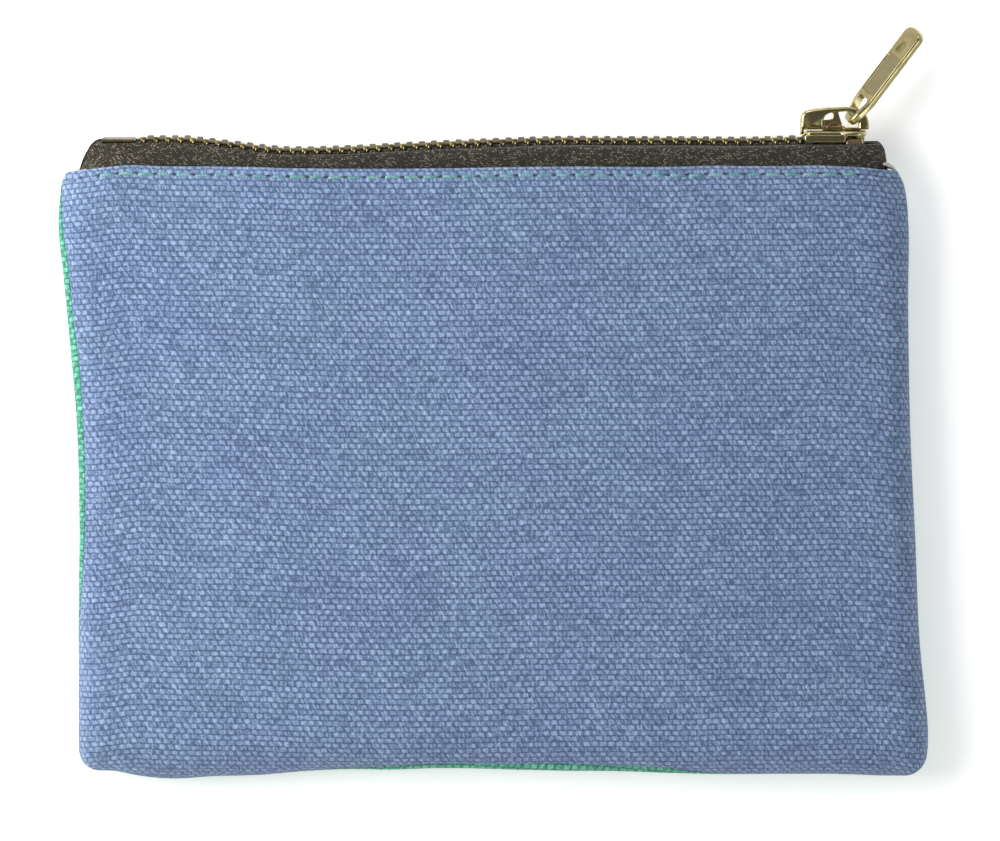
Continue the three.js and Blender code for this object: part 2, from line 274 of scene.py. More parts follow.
def lay_flat(piece: Piece, flat: Array) -> None:
    """Store where each point of a mesh lies on its flat cloth or thread.

    Args:
        piece: the mesh object.
        flat: two coordinates for each point, in millimetres.
    """
    mesh = piece.data
    layer = mesh.uv_layers.new(name=CLOTH_UV)
    corners = np.zeros(len(mesh.loops), np.int32)
    mesh.loops.foreach_get("vertex_index", corners)
    layer.data.foreach_set("uv", flat[corners].ravel())


def lattice_faces(rows: int, columns: int, around: bool = False, first: int = 0) -> list[Face]:
    """List the four-sided faces of a lattice of points.

    Args:
        rows: how many rows of points it has.
        columns: how many points a row has.
        around: whether the last column joins the first.
        first: the number of the lattice's first point.

    Returns:
        Point numbers of each face.
    """
    faces = []
    for row in range(rows - 1):
        for column in range(columns if around else columns - 1):
            after = (column + 1) % columns
            low, high = first + row * columns, first + (row + 1) * columns
            faces.append((low + column, low + after, high + after, high + column))
    return faces


def tube(path: Array, radii: Array, sides: int, first: int = 0) -> tuple[Array, list[Face]]:
    """Make a closed tube along a path.

    Args:
        path: the points that it follows.
        radii: its radius at each point.
        sides: how many sides it has.
        first: the number of its first point.

    Returns:
        Its points and its faces.
    """
    along = unit(np.gradient(path, axis=0))
    side = unit(np.cross(along, np.array([0.0, 0.13, 1.0])))
    up = np.cross(side, along)
    angles = np.linspace(0, 2 * math.pi, sides, endpoint=False)
    ring = side[:, None] * np.cos(angles)[:, None] + up[:, None] * np.sin(angles)[:, None]
    points = (path[:, None] + ring * np.asarray(radii)[:, None, None]).reshape(-1, 3)
    faces = lattice_faces(len(path), sides, True, first)
    faces.append(tuple(first + k for k in reversed(range(sides))))
    last = first + (len(path) - 1) * sides
    faces.append(tuple(last + k for k in range(sides)))
    return points, faces


# ---- Shader nodes ----


class Graph:
    """Adds nodes to a node tree and links them in one call each."""

    def __init__(self, tree: Tree) -> None:
        """Start on an empty tree.

        Args:
            tree: the tree that the nodes go in.
        """
        self.tree = tree
        tree.nodes.clear()

    def add(self, kind: str, feeds: dict[str | int, Feed] | None = None, **settings: object) -> Node:
        """Add one node.

        Args:
            kind: the node's type, without the ShaderNode or Node prefix.
            feeds: a value or a socket for each named or numbered input.
            settings: the node's own properties.

        Returns:
            The node.
        """
        prefix = "" if kind.startswith("NodeGroup") else "ShaderNode"
        node = self.tree.nodes.new(prefix + kind)
        for key, value in settings.items():
            setattr(node, key, value)
        for key, feed in (feeds or {}).items():
            self.feed(node.inputs[key], feed)
        return node

    def feed(self, socket: Socket, feed: Feed) -> None:
        """Link a socket to an input, or set the input's own value.

        Args:
            socket: the input.
            feed: a socket or a value.
        """
        if isinstance(feed, Socket):
            self.tree.links.new(feed, socket)
        elif hasattr(feed, "__len__") and len(feed) == 3 and socket.type == "RGBA":
            socket.default_value = (*feed, 1.0)
        else:
            socket.default_value = feed

    def math(self, operation: str, *feeds: Feed, clamp: bool = False) -> Socket:
        """Work out one number from others and return its socket."""
        node = self.add("Math", dict(enumerate(feeds)), operation=operation, use_clamp=clamp)
        return node.outputs[0]

    def times(self, first: Feed, second: Feed, *more: Feed) -> Socket:
        """Multiply two numbers, add a third to that if there is one, and return the socket."""
        return self.math("MULTIPLY_ADD" if more else "MULTIPLY", first, second, *more)

    def blend(self, factor: Feed, low: Feed, high: Feed, way: str = "MIX") -> Socket:
        """Mix two colours and return the mixture's socket."""
        node = self.add("Mix", {0: factor, 6: low, 7: high}, data_type="RGBA", blend_type=way)
        return node.outputs[2]

    def span(self, value: Feed, low: float, high: float, to: Pair = (0, 1)) -> Socket:
        """Map low to high onto another range, smoothly, and return its socket."""
        feeds = {"Value": value, "From Min": low, "From Max": high, "To Min": to[0], "To Max": to[1]}
        return self.add("MapRange", feeds, interpolation_type="SMOOTHSTEP").outputs[0]

    def noise(self, vector: Feed, scale: float, detail: float = 3, rough: float = 0.55) -> Socket:
        """Add a noise texture and return its value's socket."""
        feeds = {"Vector": vector, "Scale": scale, "Detail": detail, "Roughness": rough}
        return self.add("TexNoise", feeds).outputs["Fac"]

    def stretch(self, vector: Feed, scale: Sequence[float], turn: float = 0.0) -> Socket:
        """Turn a vector about Z and then scale it, and return its socket."""
        turned = self.add("Mapping", {"Vector": vector, "Rotation": (0, 0, turn)}).outputs[0]
        return self.add("VectorMath", {0: turned, 1: scale}, operation="MULTIPLY").outputs[0]

    def group(self, tree: Tree, feeds: dict[str, Feed]) -> Node:
        """Place a node group and feed its inputs.

        Args:
            tree: the group's tree.
            feeds: a value or a socket for each named input.

        Returns:
            The group's node.
        """
        node = self.add("Group")
        node.node_tree = tree
        for key, feed in feeds.items():
            self.feed(node.inputs[key], feed)
        return node


@dataclass
class Effect:
    """A shared shader effect: a node group with named sockets, built once."""

    name: str
    inputs: dict[str, float | None]
    outputs: tuple[str, ...]
    fill: Callable[[Graph, Node], dict[str, Socket]]
    tree: Tree | None = None

    def get(self) -> Tree:
        """Return the group's tree, building it the first time.

        Returns:
            The group's tree.
        """
        if self.tree is None:
            self.tree = bpy.data.node_groups.new(self.name, "ShaderNodeTree")
            for name, value in self.inputs.items():
                kind = "NodeSocketVector" if value is None else "NodeSocketFloat"
                socket = self.tree.interface.new_socket(name, in_out="INPUT", socket_type=kind)
                if value is not None:
                    socket.default_value = value
            for name in self.outputs:
                self.tree.interface.new_socket(name, in_out="OUTPUT", socket_type="NodeSocketFloat")
            graph = Graph(self.tree)
            given = graph.add("NodeGroupInput")
            made = self.fill(graph, given)
            graph.add("NodeGroupOutput", made)
        return self.tree


def wander(g: Graph, cloth: Feed, scale: float, detail: float, amount: Feed) -> Socket:
    """Move places on a cloth about a little, as its yarns wander.

    Args:
        g: the nodes that it is added to.
        cloth: the socket of the places.
        scale: how close the changes come.
        detail: how fine they are.
        amount: how far they go.

    Returns:
        The socket of the moved places.
    """
    drift = g.add("TexNoise", {"Vector": cloth, "Scale": scale, "Detail": detail}).outputs["Color"]
    drift = g.add("VectorMath", {0: drift, 1: (0.5, 0.5, 0.5)}, operation="SUBTRACT").outputs[0]
    drift = g.add("VectorMath", {0: drift, 3: amount}, operation="SCALE").outputs[0]
    return g.add("VectorMath", {0: cloth, 1: drift}, operation="ADD").outputs[0]


def fill_plain_weave(g: Graph, given: Node) -> dict[str, Socket]:
    """Rows of rounded slanting floats, set like bricks, with their fibres showing.

    Args:
        g: the group's nodes.
        given: the group's input node.

    Returns:
        The group's outputs by name.
    """
    cloth = given.outputs["Vector"]
    moved = wander(g, cloth, 0.42, 2.0, given.outputs["Wander"])
    split = g.add("SeparateXYZ", {0: moved})
    row_place = g.math("DIVIDE", split.outputs[1], given.outputs["Row pitch"])
    row = g.math("FLOOR", row_place)
    off_row = g.math("SUBTRACT", g.math("FRACT", row_place), 0.5)
    across = g.math("DIVIDE", split.outputs[0], given.outputs["Float pitch"])
    across = g.times(off_row, given.outputs["Slant"], across)
    half_shift = g.times(g.math("FLOORED_MODULO", row, 2.0), 0.5)
    float_place = g.math("ADD", across, half_shift)
    cell = g.math("FLOOR", float_place)
    key = g.add("CombineXYZ", {0: cell, 1: row, 2: 0.0}).outputs[0]
    chance = g.add("TexWhiteNoise", {"Vector": key}, noise_dimensions="2D")
    tint = chance.outputs["Value"]
    parts = g.add("SeparateColor", {0: chance.outputs["Color"]})
    off_cell = g.math("SUBTRACT", g.math("FRACT", float_place), 0.5)
    off_cell = g.times(g.math("SUBTRACT", parts.outputs[1], 0.5), 0.12, off_cell)
    fu = g.times(g.math("ABSOLUTE", off_cell), g.times(parts.outputs[0], 0.3, 1.95))
    fv = g.times(g.math("ABSOLUTE", off_row), g.times(parts.outputs[2], 0.25, 1.9))
    fray = g.span(g.noise(moved, 1.5, 2), 0.32, 0.68, (0.72, 1.04))
    fv = g.times(fv, fray)
    wide, tall = g.span(fu, 0.25, 1.02, (1.0, 0.45)), g.span(fv, 0.45, 1.02, (1.0, 0.05))
    corner = g.span(g.math("ADD", g.math("POWER", fu, 3.0), g.math("POWER", fv, 3.0)), 0.4, 1.6, (1.0, 0.4))
    crown = g.times(g.times(wide, tall), corner)
    fibre = g.span(g.noise(g.stretch(moved, (3.1, 0.9, 1.0), -0.36), 1.0, 3, 0.65), 0.32, 0.68)
    strand = g.add("CombineXYZ", {0: g.times(cell, 0.13), 1: row, 2: 3.0}).outputs[0]
    slub = g.noise(strand, 0.83, 2)
    raised = g.times(crown, g.times(tint, 0.3, 0.7))
    height = g.times(fibre, 0.35, raised)
    return {"Height": height, "Crown": crown, "Tint": tint, "Slub": slub, "Fibre": fibre}


PLAIN_WEAVE = Effect(
    "Plain weave",
    {"Vector": None, "Float pitch": 1.364, "Row pitch": 0.936, "Slant": 0.1, "Wander": 0.34},
    ("Height", "Crown", "Tint", "Slub", "Fibre"),
    fill_plain_weave,
)


def fill_twill_weave(g: Graph, given: Node) -> dict[str, Socket]:
    """Slanting ribs that turn back every few millimetres, broken into short floats.

    Args:
        g: the group's nodes.
        given: the group's input node.

    Returns:
        The group's outputs by name.
    """
    cloth = given.outputs["Vector"]
    split = g.add("SeparateXYZ", {0: wander(g, cloth, 1.6, 3.0, 0.6)})
    band = g.math("PINGPONG", split.outputs[1], given.outputs["Band"])
    slanted = g.times(band, 0.8, split.outputs[0])
    rib_place = g.math("DIVIDE", slanted, given.outputs["Rib pitch"])
    rib = g.math("ABSOLUTE", g.math("SUBTRACT", g.math("FRACT", rib_place), 0.5))
    thread_place = g.math("DIVIDE", split.outputs[1], g.times(given.outputs["Rib pitch"], 0.62))
    thread = g.math("ABSOLUTE", g.math("SUBTRACT", g.math("FRACT", thread_place), 0.5))
    from_rib = g.math("POWER", g.times(rib, 2.0), 2.0)
    away = g.math("ADD", from_rib, g.math("POWER", g.times(thread, 1.8), 2.0))
    height = g.span(away, 0.1, 1.3, (1.0, 0.0))
    cell = {0: g.math("FLOOR", rib_place), 1: g.math("FLOOR", thread_place), 2: 0.0}
    key = g.add("CombineXYZ", cell).outputs[0]
    tint = g.add("TexWhiteNoise", {"Vector": key}, noise_dimensions="2D").outputs["Value"]
    loose = g.span(g.noise(cloth, 2.3, 3, 0.6), 0.35, 0.62, (0.55, 1.2))
    # The second output is the floats' height, stronger on some at random: the mask of a painted highlight.
    return {"Height": height, "Fleck": g.times(g.times(height, tint), loose)}


TWILL_WEAVE = Effect(
    "Twill weave",
    {"Vector": None, "Rib pitch": 0.5, "Band": 3.1},
    ("Height", "Fleck"),
    fill_twill_weave,
)


def fill_mottle(g: Graph, given: Node) -> dict[str, Socket]:
    """Broad soft patches, slanting streaks and fine lint, as washing leaves them.

    Args:
        g: the group's nodes.
        given: the group's input node.

    Returns:
        The group's outputs by name.
    """
    vector = given.outputs["Vector"]
    spread = g.add("VectorMath", {0: vector, 3: given.outputs["Scale"]}, operation="SCALE").outputs[0]
    patches = g.span(g.noise(spread, 1.0, 3, 0.6), 0.32, 0.68)
    streaks = g.span(g.noise(g.stretch(spread, (2.6, 0.75, 1.0), -0.8), 1.5, 4, 0.6), 0.3, 0.7)
    lint = g.noise(spread, 42.0, 4, 0.7)
    return {"Patches": patches, "Streaks": streaks, "Lint": lint}


MOTTLE = Effect("Mottle", {"Vector": None, "Scale": 55.0}, ("Patches", "Streaks", "Lint"), fill_mottle)


def fill_tarnish(g: Graph, given: Node) -> dict[str, Socket]:
    """Dull patches, hairline scratches and a slight unevenness of cast metal.

    Args:
        g: the group's nodes.
        given: the group's input node.

    Returns:
        The group's outputs by name.
    """
    vector = given.outputs["Vector"]
    dull = g.span(g.noise(vector, 420.0, 5, 0.65), 0.42, 0.7)
    scratch_noise = g.noise(g.stretch(vector, (260.0, 5200.0, 2600.0), 0.5), 1.0, 3, 0.7)
    scratches = g.span(scratch_noise, 0.6, 0.72)
    uneven = g.noise(vector, 900.0, 2, 0.5)
    return {"Dull": dull, "Scratches": scratches, "Uneven": uneven}


TARNISH = Effect("Tarnish", {"Vector": None}, ("Dull", "Scratches", "Uneven"), fill_tarnish)


@dataclass(frozen=True)
class Finish:
    """What every finish has: a name, a record slot and a way to make its material."""

    name: str
    slot: str

    def start(self, **own: float) -> tuple[Material, Graph, Node]:
        """Make an empty material with a Principled shader in it.

        Args:
            own: the shader's own constants, by socket name.

        Returns:
            The material, its nodes and its shader.
        """
        material = bpy.data.materials.new(self.name)
        material.use_nodes = True
        graph = Graph(material.node_tree)
        shader = graph.add("BsdfPrincipled")
        for name, value in own.items():
            shader.inputs[name.replace("_", " ")].default_value = value
        graph.add("OutputMaterial", {"Surface": shader.outputs[0]})
        return material, graph, shader

    def bump(self, graph: Graph, shader: Node, height: Feed, distance: float, strength: float) -> None:
        """Feed a bump to a shader.

        Args:
            graph: the material's nodes.
            shader: the Principled shader.
            height: the socket of the height, about 0 to 1.
            distance: how high 1 stands, in millimetres.
            strength: how much of the bump shows.
        """
        node = graph.add("Bump", {"Strength": strength, "Distance": distance * MM, "Height": height})
        graph.feed(shader.inputs["Normal"], node.outputs[0])


@dataclass(frozen=True)
class Canvas(Finish):
    """Washed cotton duck in a plain weave, with painted shade between its yarns and a painted highlight on
    their crowns.
    """

    body: Colour
    # The darker colour laid between the yarns: painted shade.
    gap_shade_and_patch: Colour
    # The lighter colour laid on the floats' tops: a painted highlight.
    crown: Colour
    cool: Colour = (0.97, 0.93, 1.0)
    shade: Colour = (0.82, 0.84, 0.87)
    float_pitch: float = 1.364
    row_pitch: float = 0.936
    hole_pitch: float = 0.0
    hole_row: float = 0.0
    hole_start: float = 0.0

    def make(self) -> Material:
        """Return the material.

        Returns:
            The material.
        """
        material, g, shader = self.start(Specular_IOR_Level=0.25, Sheen_Weight=0.12, Sheen_Roughness=0.6)
        cloth = g.add("UVMap", uv_map=CLOTH_UV).outputs[0]
        place = g.add("TexCoord").outputs["Object"]
        weave = g.group(
            PLAIN_WEAVE.get(),
            {"Vector": cloth, "Float pitch": self.float_pitch, "Row pitch": self.row_pitch},
        )
        mottle = g.group(MOTTLE.get(), {"Vector": place, "Scale": 60.0})
        worn = g.add("Attribute", attribute_name="wear").outputs["Fac"]
        height, crown, tint = (weave.outputs[k] for k in ("Height", "Crown", "Tint"))
        yarn = g.times(tint, 0.3, g.times(weave.outputs["Slub"], 0.3))
        tone = g.times(weave.outputs["Fibre"], 0.75, yarn)
        # The floats' crowns lift the tone, beside the random yarn tone: a painted highlight on the crowns and
        # painted shade between them.
        tone = g.times(g.times(crown, 0.8, 0.2), tone)
        tone = g.times(worn, 0.12, tone)
        colour = g.blend(g.span(tone, 0.1, 0.62), self.gap_shade_and_patch, self.body)
        colour = g.blend(g.span(tone, 0.5, 1.1), colour, self.crown)
        # Painted shade: the low parts between the floats are darkened towards the shade colour.
        fibre_depth = g.span(weave.outputs["Fibre"], 0, 1, (1.0, 0.6))
        low = g.times(g.span(crown, 0.0, 0.4, (0.6, 0.0)), fibre_depth)
        colour = g.blend(low, colour, self.gap_shade_and_patch)
        colour = g.blend(g.times(mottle.outputs["Patches"], 0.85), colour, self.cool, "MULTIPLY")
        colour = g.blend(g.times(mottle.outputs["Streaks"], 0.8), colour, self.shade, "MULTIPLY")
        lint = g.span(mottle.outputs["Lint"], 0.3, 0.75, (0.9, 1.12))
        grey = g.add("CombineColor", {0: lint, 1: lint, 2: lint}).outputs[0]
        colour = g.blend(1.0, colour, grey, "MULTIPLY")
        if self.hole_pitch:
            split = g.add("SeparateXYZ", {0: cloth})
            along = g.math("DIVIDE", g.math("SUBTRACT", split.outputs[0], self.hole_start), self.hole_pitch)
            aside = g.math("ABSOLUTE", g.math("SUBTRACT", g.math("FRACT", g.math("ADD", along, 0.5)), 0.5))
            aside = g.times(aside, self.hole_pitch)
            above = g.math("SUBTRACT", split.outputs[1], self.hole_row)
            flat_above = g.times(g.times(above, above), 2.2)
            away = g.math("SQRT", g.times(aside, aside, flat_above))
            hole = g.span(away, 0.1, 0.55, (1.0, 0.0))
            # Painted shade in the needle holes: their colour is darkened, beside the dip in the bump.
            hole_shade = g.blend(0.75, self.gap_shade_and_patch, (0.01, 0.015, 0.03))
            colour = g.blend(g.times(hole, 0.85), colour, hole_shade)
            height = g.math("SUBTRACT", height, g.times(hole, 1.6))
        g.feed(shader.inputs["Base Color"], colour)
        g.feed(shader.inputs["Roughness"], g.span(height, 0.0, 1.0, (0.97, 0.84)))
        lint_height = g.times(mottle.outputs["Lint"], 0.25, height)
        self.bump(g, shader, lint_height, 0.17, 0.8)
        return material


@dataclass(frozen=True)
class Tape(Finish):
    """Dark twill tape, with painted shade between its ribs and pale painted highlights where its floats catch
    the light.
    """

    body: Colour
    # The darker colour between the ribs, a painted shade, which also tints random darker patches.
    gap_shade_and_patch: Colour
    # Pale colour laid on the floats' tops: a painted highlight.
    fleck: Colour

    def make(self) -> Material:
        """Return the material.

        Returns:
            The material.
        """
        material, g, shader = self.start(Specular_IOR_Level=0.3, Sheen_Weight=0.1)
        cloth = g.add("UVMap", uv_map=CLOTH_UV).outputs[0]
        place = g.add("TexCoord").outputs["Object"]
        weave = g.group(TWILL_WEAVE.get(), {"Vector": cloth})
        mottle = g.group(MOTTLE.get(), {"Vector": place, "Scale": 240.0})
        # Painted shade: the low parts between the ribs take the shade colour.
        colour = g.blend(g.math("POWER", weave.outputs["Height"], 1.4), self.gap_shade_and_patch, self.body)
        # Painted highlight: pale colour on the floats' tops, stronger on some floats at random.
        glint_mask = g.span(weave.outputs["Fleck"], 0.32, 0.85)
        colour = g.blend(g.times(glint_mask, 0.9), colour, self.fleck)
        colour = g.blend(g.times(mottle.outputs["Patches"], 0.25), colour, self.gap_shade_and_patch)
        g.feed(shader.inputs["Base Color"], colour)
        g.feed(shader.inputs["Roughness"], g.span(weave.outputs["Height"], 0, 1, (0.95, 0.7)))
        height = g.times(mottle.outputs["Lint"], 0.3, weave.outputs["Height"])
        self.bump(g, shader, height, 0.12, 0.9)
        return material


@dataclass(frozen=True)
class Thread(Finish):
    """Spun sewing thread, its plies slanting along it."""

    body: Colour
    pale: Colour
    # Darker colour for the grooves between the plies: painted shade.
    ply_groove_shade: Colour
    uv: bool = True

    def make(self) -> Material:
        """Return the material.

        Returns:
            The material.
        """
        material, g, shader = self.start(Sheen_Weight=0.2)
        place = g.add("TexCoord").outputs["Object"]
        if self.uv:
            split = g.add("SeparateXYZ", {0: g.add("UVMap", uv_map=CLOTH_UV).outputs[0]})
            turned = g.times(split.outputs[1], 4 * math.pi)
            slant = g.times(split.outputs[0], 14.0, turned)
        else:
            split = g.add("SeparateXYZ", {0: g.stretch(place, (9000.0, 9000.0, 9000.0))})
            slant = g.math("ADD", split.outputs[0], split.outputs[1])
        ply = g.times(g.math("SINE", slant), 0.5, 0.5)
        tone = g.span(g.noise(place, 520.0, 3, 0.6), 0.35, 0.65)
        if self.uv:
            along = g.math("DIVIDE", g.math("SUBTRACT", split.outputs[0], STITCH_START), STITCH_PITCH)
            start = g.span(g.math("FRACT", along), 0.12, 0.3, (0.85, 0.0))
            tone = g.math("MAXIMUM", start, g.times(tone, 0.4))
        colour = g.blend(tone, self.body, self.pale)
        # Painted shade in the grooves between the plies.
        colour = g.blend(g.span(ply, 0.0, 0.6, (0.45, 0.0)), colour, self.ply_groove_shade)
        g.feed(shader.inputs["Base Color"], colour)
        g.feed(shader.inputs["Roughness"], g.span(ply, 0, 1, (0.75, 0.5)))
        self.bump(g, shader, g.times(g.noise(place, 9000.0, 2), 0.3, ply), 0.05, 0.8)
        return material


@dataclass(frozen=True)
class Metal(Finish):
    """Polished metal with dull patches and fine scratches."""

    body: Colour
    dull: Colour
    rough: float
    dull_rough: float
    dulling: float

    def make(self) -> Material:
        """Return the material.

        Returns:
            The material.
        """
        material, g, shader = self.start(Metallic=1.0)
        place = g.add("TexCoord").outputs["Object"]
        tarnish = g.group(TARNISH.get(), {"Vector": place})
        dull, scratches = tarnish.outputs["Dull"], tarnish.outputs["Scratches"]
        amount = g.times(dull, self.dulling)
        g.feed(shader.inputs["Base Color"], g.blend(amount, self.body, self.dull))
        rough = g.span(amount, 0, 1, (self.rough, self.dull_rough))
        g.feed(shader.inputs["Roughness"], g.times(scratches, 0.12, rough))
        self.bump(g, shader, g.times(scratches, -0.25, tarnish.outputs["Uneven"]), 0.02, 0.35)
        return material


@dataclass(frozen=True)
class Backdrop(Finish):
    """A pale matte floor that gives off a little light of its own."""

    body: Colour
    glow: float = 0.35

    def make(self) -> Material:
        """Return the material.

        Returns:
            The material.
        """
        material, g, shader = self.start(Roughness=0.95, Specular_IOR_Level=0.1, Emission_Strength=self.glow)
        shader.inputs["Emission Color"].default_value = (1.0, 1.0, 1.0, 1.0)
        grain = g.noise(g.add("TexCoord").outputs["Object"], 900.0, 3)
        colour = g.blend(g.times(grain, 0.02), self.body, (0.8, 0.8, 0.8))
        g.feed(shader.inputs["Base Color"], colour)
        return material


STITCH_PITCH = 3.2
STITCH_START = -66.6
STITCH_BELOW_FOLD = 1.5


class Wardrobe:
    """Every finish of the pouch, each made once."""

    HOLES = {"hole_pitch": STITCH_PITCH, "hole_row": 0.55 - STITCH_BELOW_FOLD, "hole_start": STITCH_START}
    FINISHES: tuple[Finish, ...] = (
        Canvas(
            "blue duck", "blue_canvas", (0.18, 0.27, 0.425), (0.072, 0.115, 0.21), (0.34, 0.45, 0.65),
            **HOLES,
        ),
        Canvas(
            "green duck", "green_canvas", (0.07, 0.38, 0.25), (0.02, 0.14, 0.09), (0.2, 0.6, 0.44),
            (0.95, 0.97, 1.0), **HOLES,
        ),
        Canvas(
            "unbleached cotton", "lining_cotton", (0.66, 0.64, 0.58), (0.38, 0.36, 0.32), (0.8, 0.79, 0.74),
            (0.98, 0.97, 0.94), (0.94, 0.93, 0.9), float_pitch=0.62, row_pitch=0.42,
        ),
        Tape("olive tape", "zipper_tape", (0.046, 0.04, 0.027), (0.01, 0.008, 0.006), (0.25, 0.22, 0.165)),
        Thread("teal thread", "teal_thread", (0.075, 0.27, 0.27), (0.42, 0.64, 0.66), (0.03, 0.12, 0.13)),
        Thread(
            "white thread", "white_thread", (0.7, 0.68, 0.62), (0.85, 0.83, 0.78), (0.35, 0.33, 0.3),
            uv=False,
        ),
        Metal("tooth brass", "tooth_brass", (0.29, 0.24, 0.1), (0.09, 0.072, 0.033), 0.36, 0.5, 0.85),
        # A darker copy of the tooth brass: painted shade on the back row of teeth and on the clamp.
        Metal("shaded tooth brass", "tooth_brass", (0.1, 0.085, 0.037), (0.042, 0.034, 0.017), 0.38, 0.5, 0.8),
        Metal("light gold plating", "pale_gold", (0.52, 0.46, 0.24), (0.27, 0.22, 0.075), 0.19, 0.34, 0.6),
        # A darker copy of the plating for the pull's flat faces: painted shade standing in for a dim
        # reflection.
        Metal("shaded gold face", "pale_gold", (0.31, 0.27, 0.13), (0.2, 0.165, 0.07), 0.25, 0.4, 0.6),
        # The sunk panels' satin finish is real; their darker colour is painted shade standing in for a dim
        # reflection.
        Metal("satin shaded gold panel", "pale_gold", (0.25, 0.22, 0.12), (0.2, 0.17, 0.09), 0.42, 0.5, 0.5),
        Metal("pink gold", "tooth_brass", (0.75, 0.56, 0.38), (0.5, 0.33, 0.2), 0.3, 0.4, 0.5),
        Metal("spring brass", "spring_brass", (0.42, 0.25, 0.14), (0.2, 0.1, 0.05), 0.3, 0.45, 0.6),
        Backdrop("pale floor", "", (0.94, 0.94, 0.94)),
    )

    def __init__(self) -> None:
        """Make every material."""
        self.materials = {finish.name: finish.make() for finish in self.FINISHES}
        self.slots = {finish.name: finish.slot for finish in self.FINISHES}

    def get(self, name: str) -> Material:
        """Return a material by its finish's name."""
        return self.materials[name]

    def hand_over(self, piece: Piece, body: str, finish: str, *nodes: str) -> Piece:
        """Put a finished piece on its body and say what it stands for.

        Args:
            piece: the piece.
            body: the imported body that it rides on.
            finish: the name of its finish.
            nodes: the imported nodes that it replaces.

        Returns:
            The piece.
        """
        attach(piece, body)
        if nodes:
            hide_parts(*nodes)
        log.info("%s rides on %s in %s", piece.name, body, finish)
        return piece


# ---- The pouch's body ----


def millimetres(node: str) -> tuple[Array, Array]:
    """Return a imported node's lowest and highest corners in millimetres."""
    low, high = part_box(node)
    return np.array(low) / MM, np.array(high) / MM


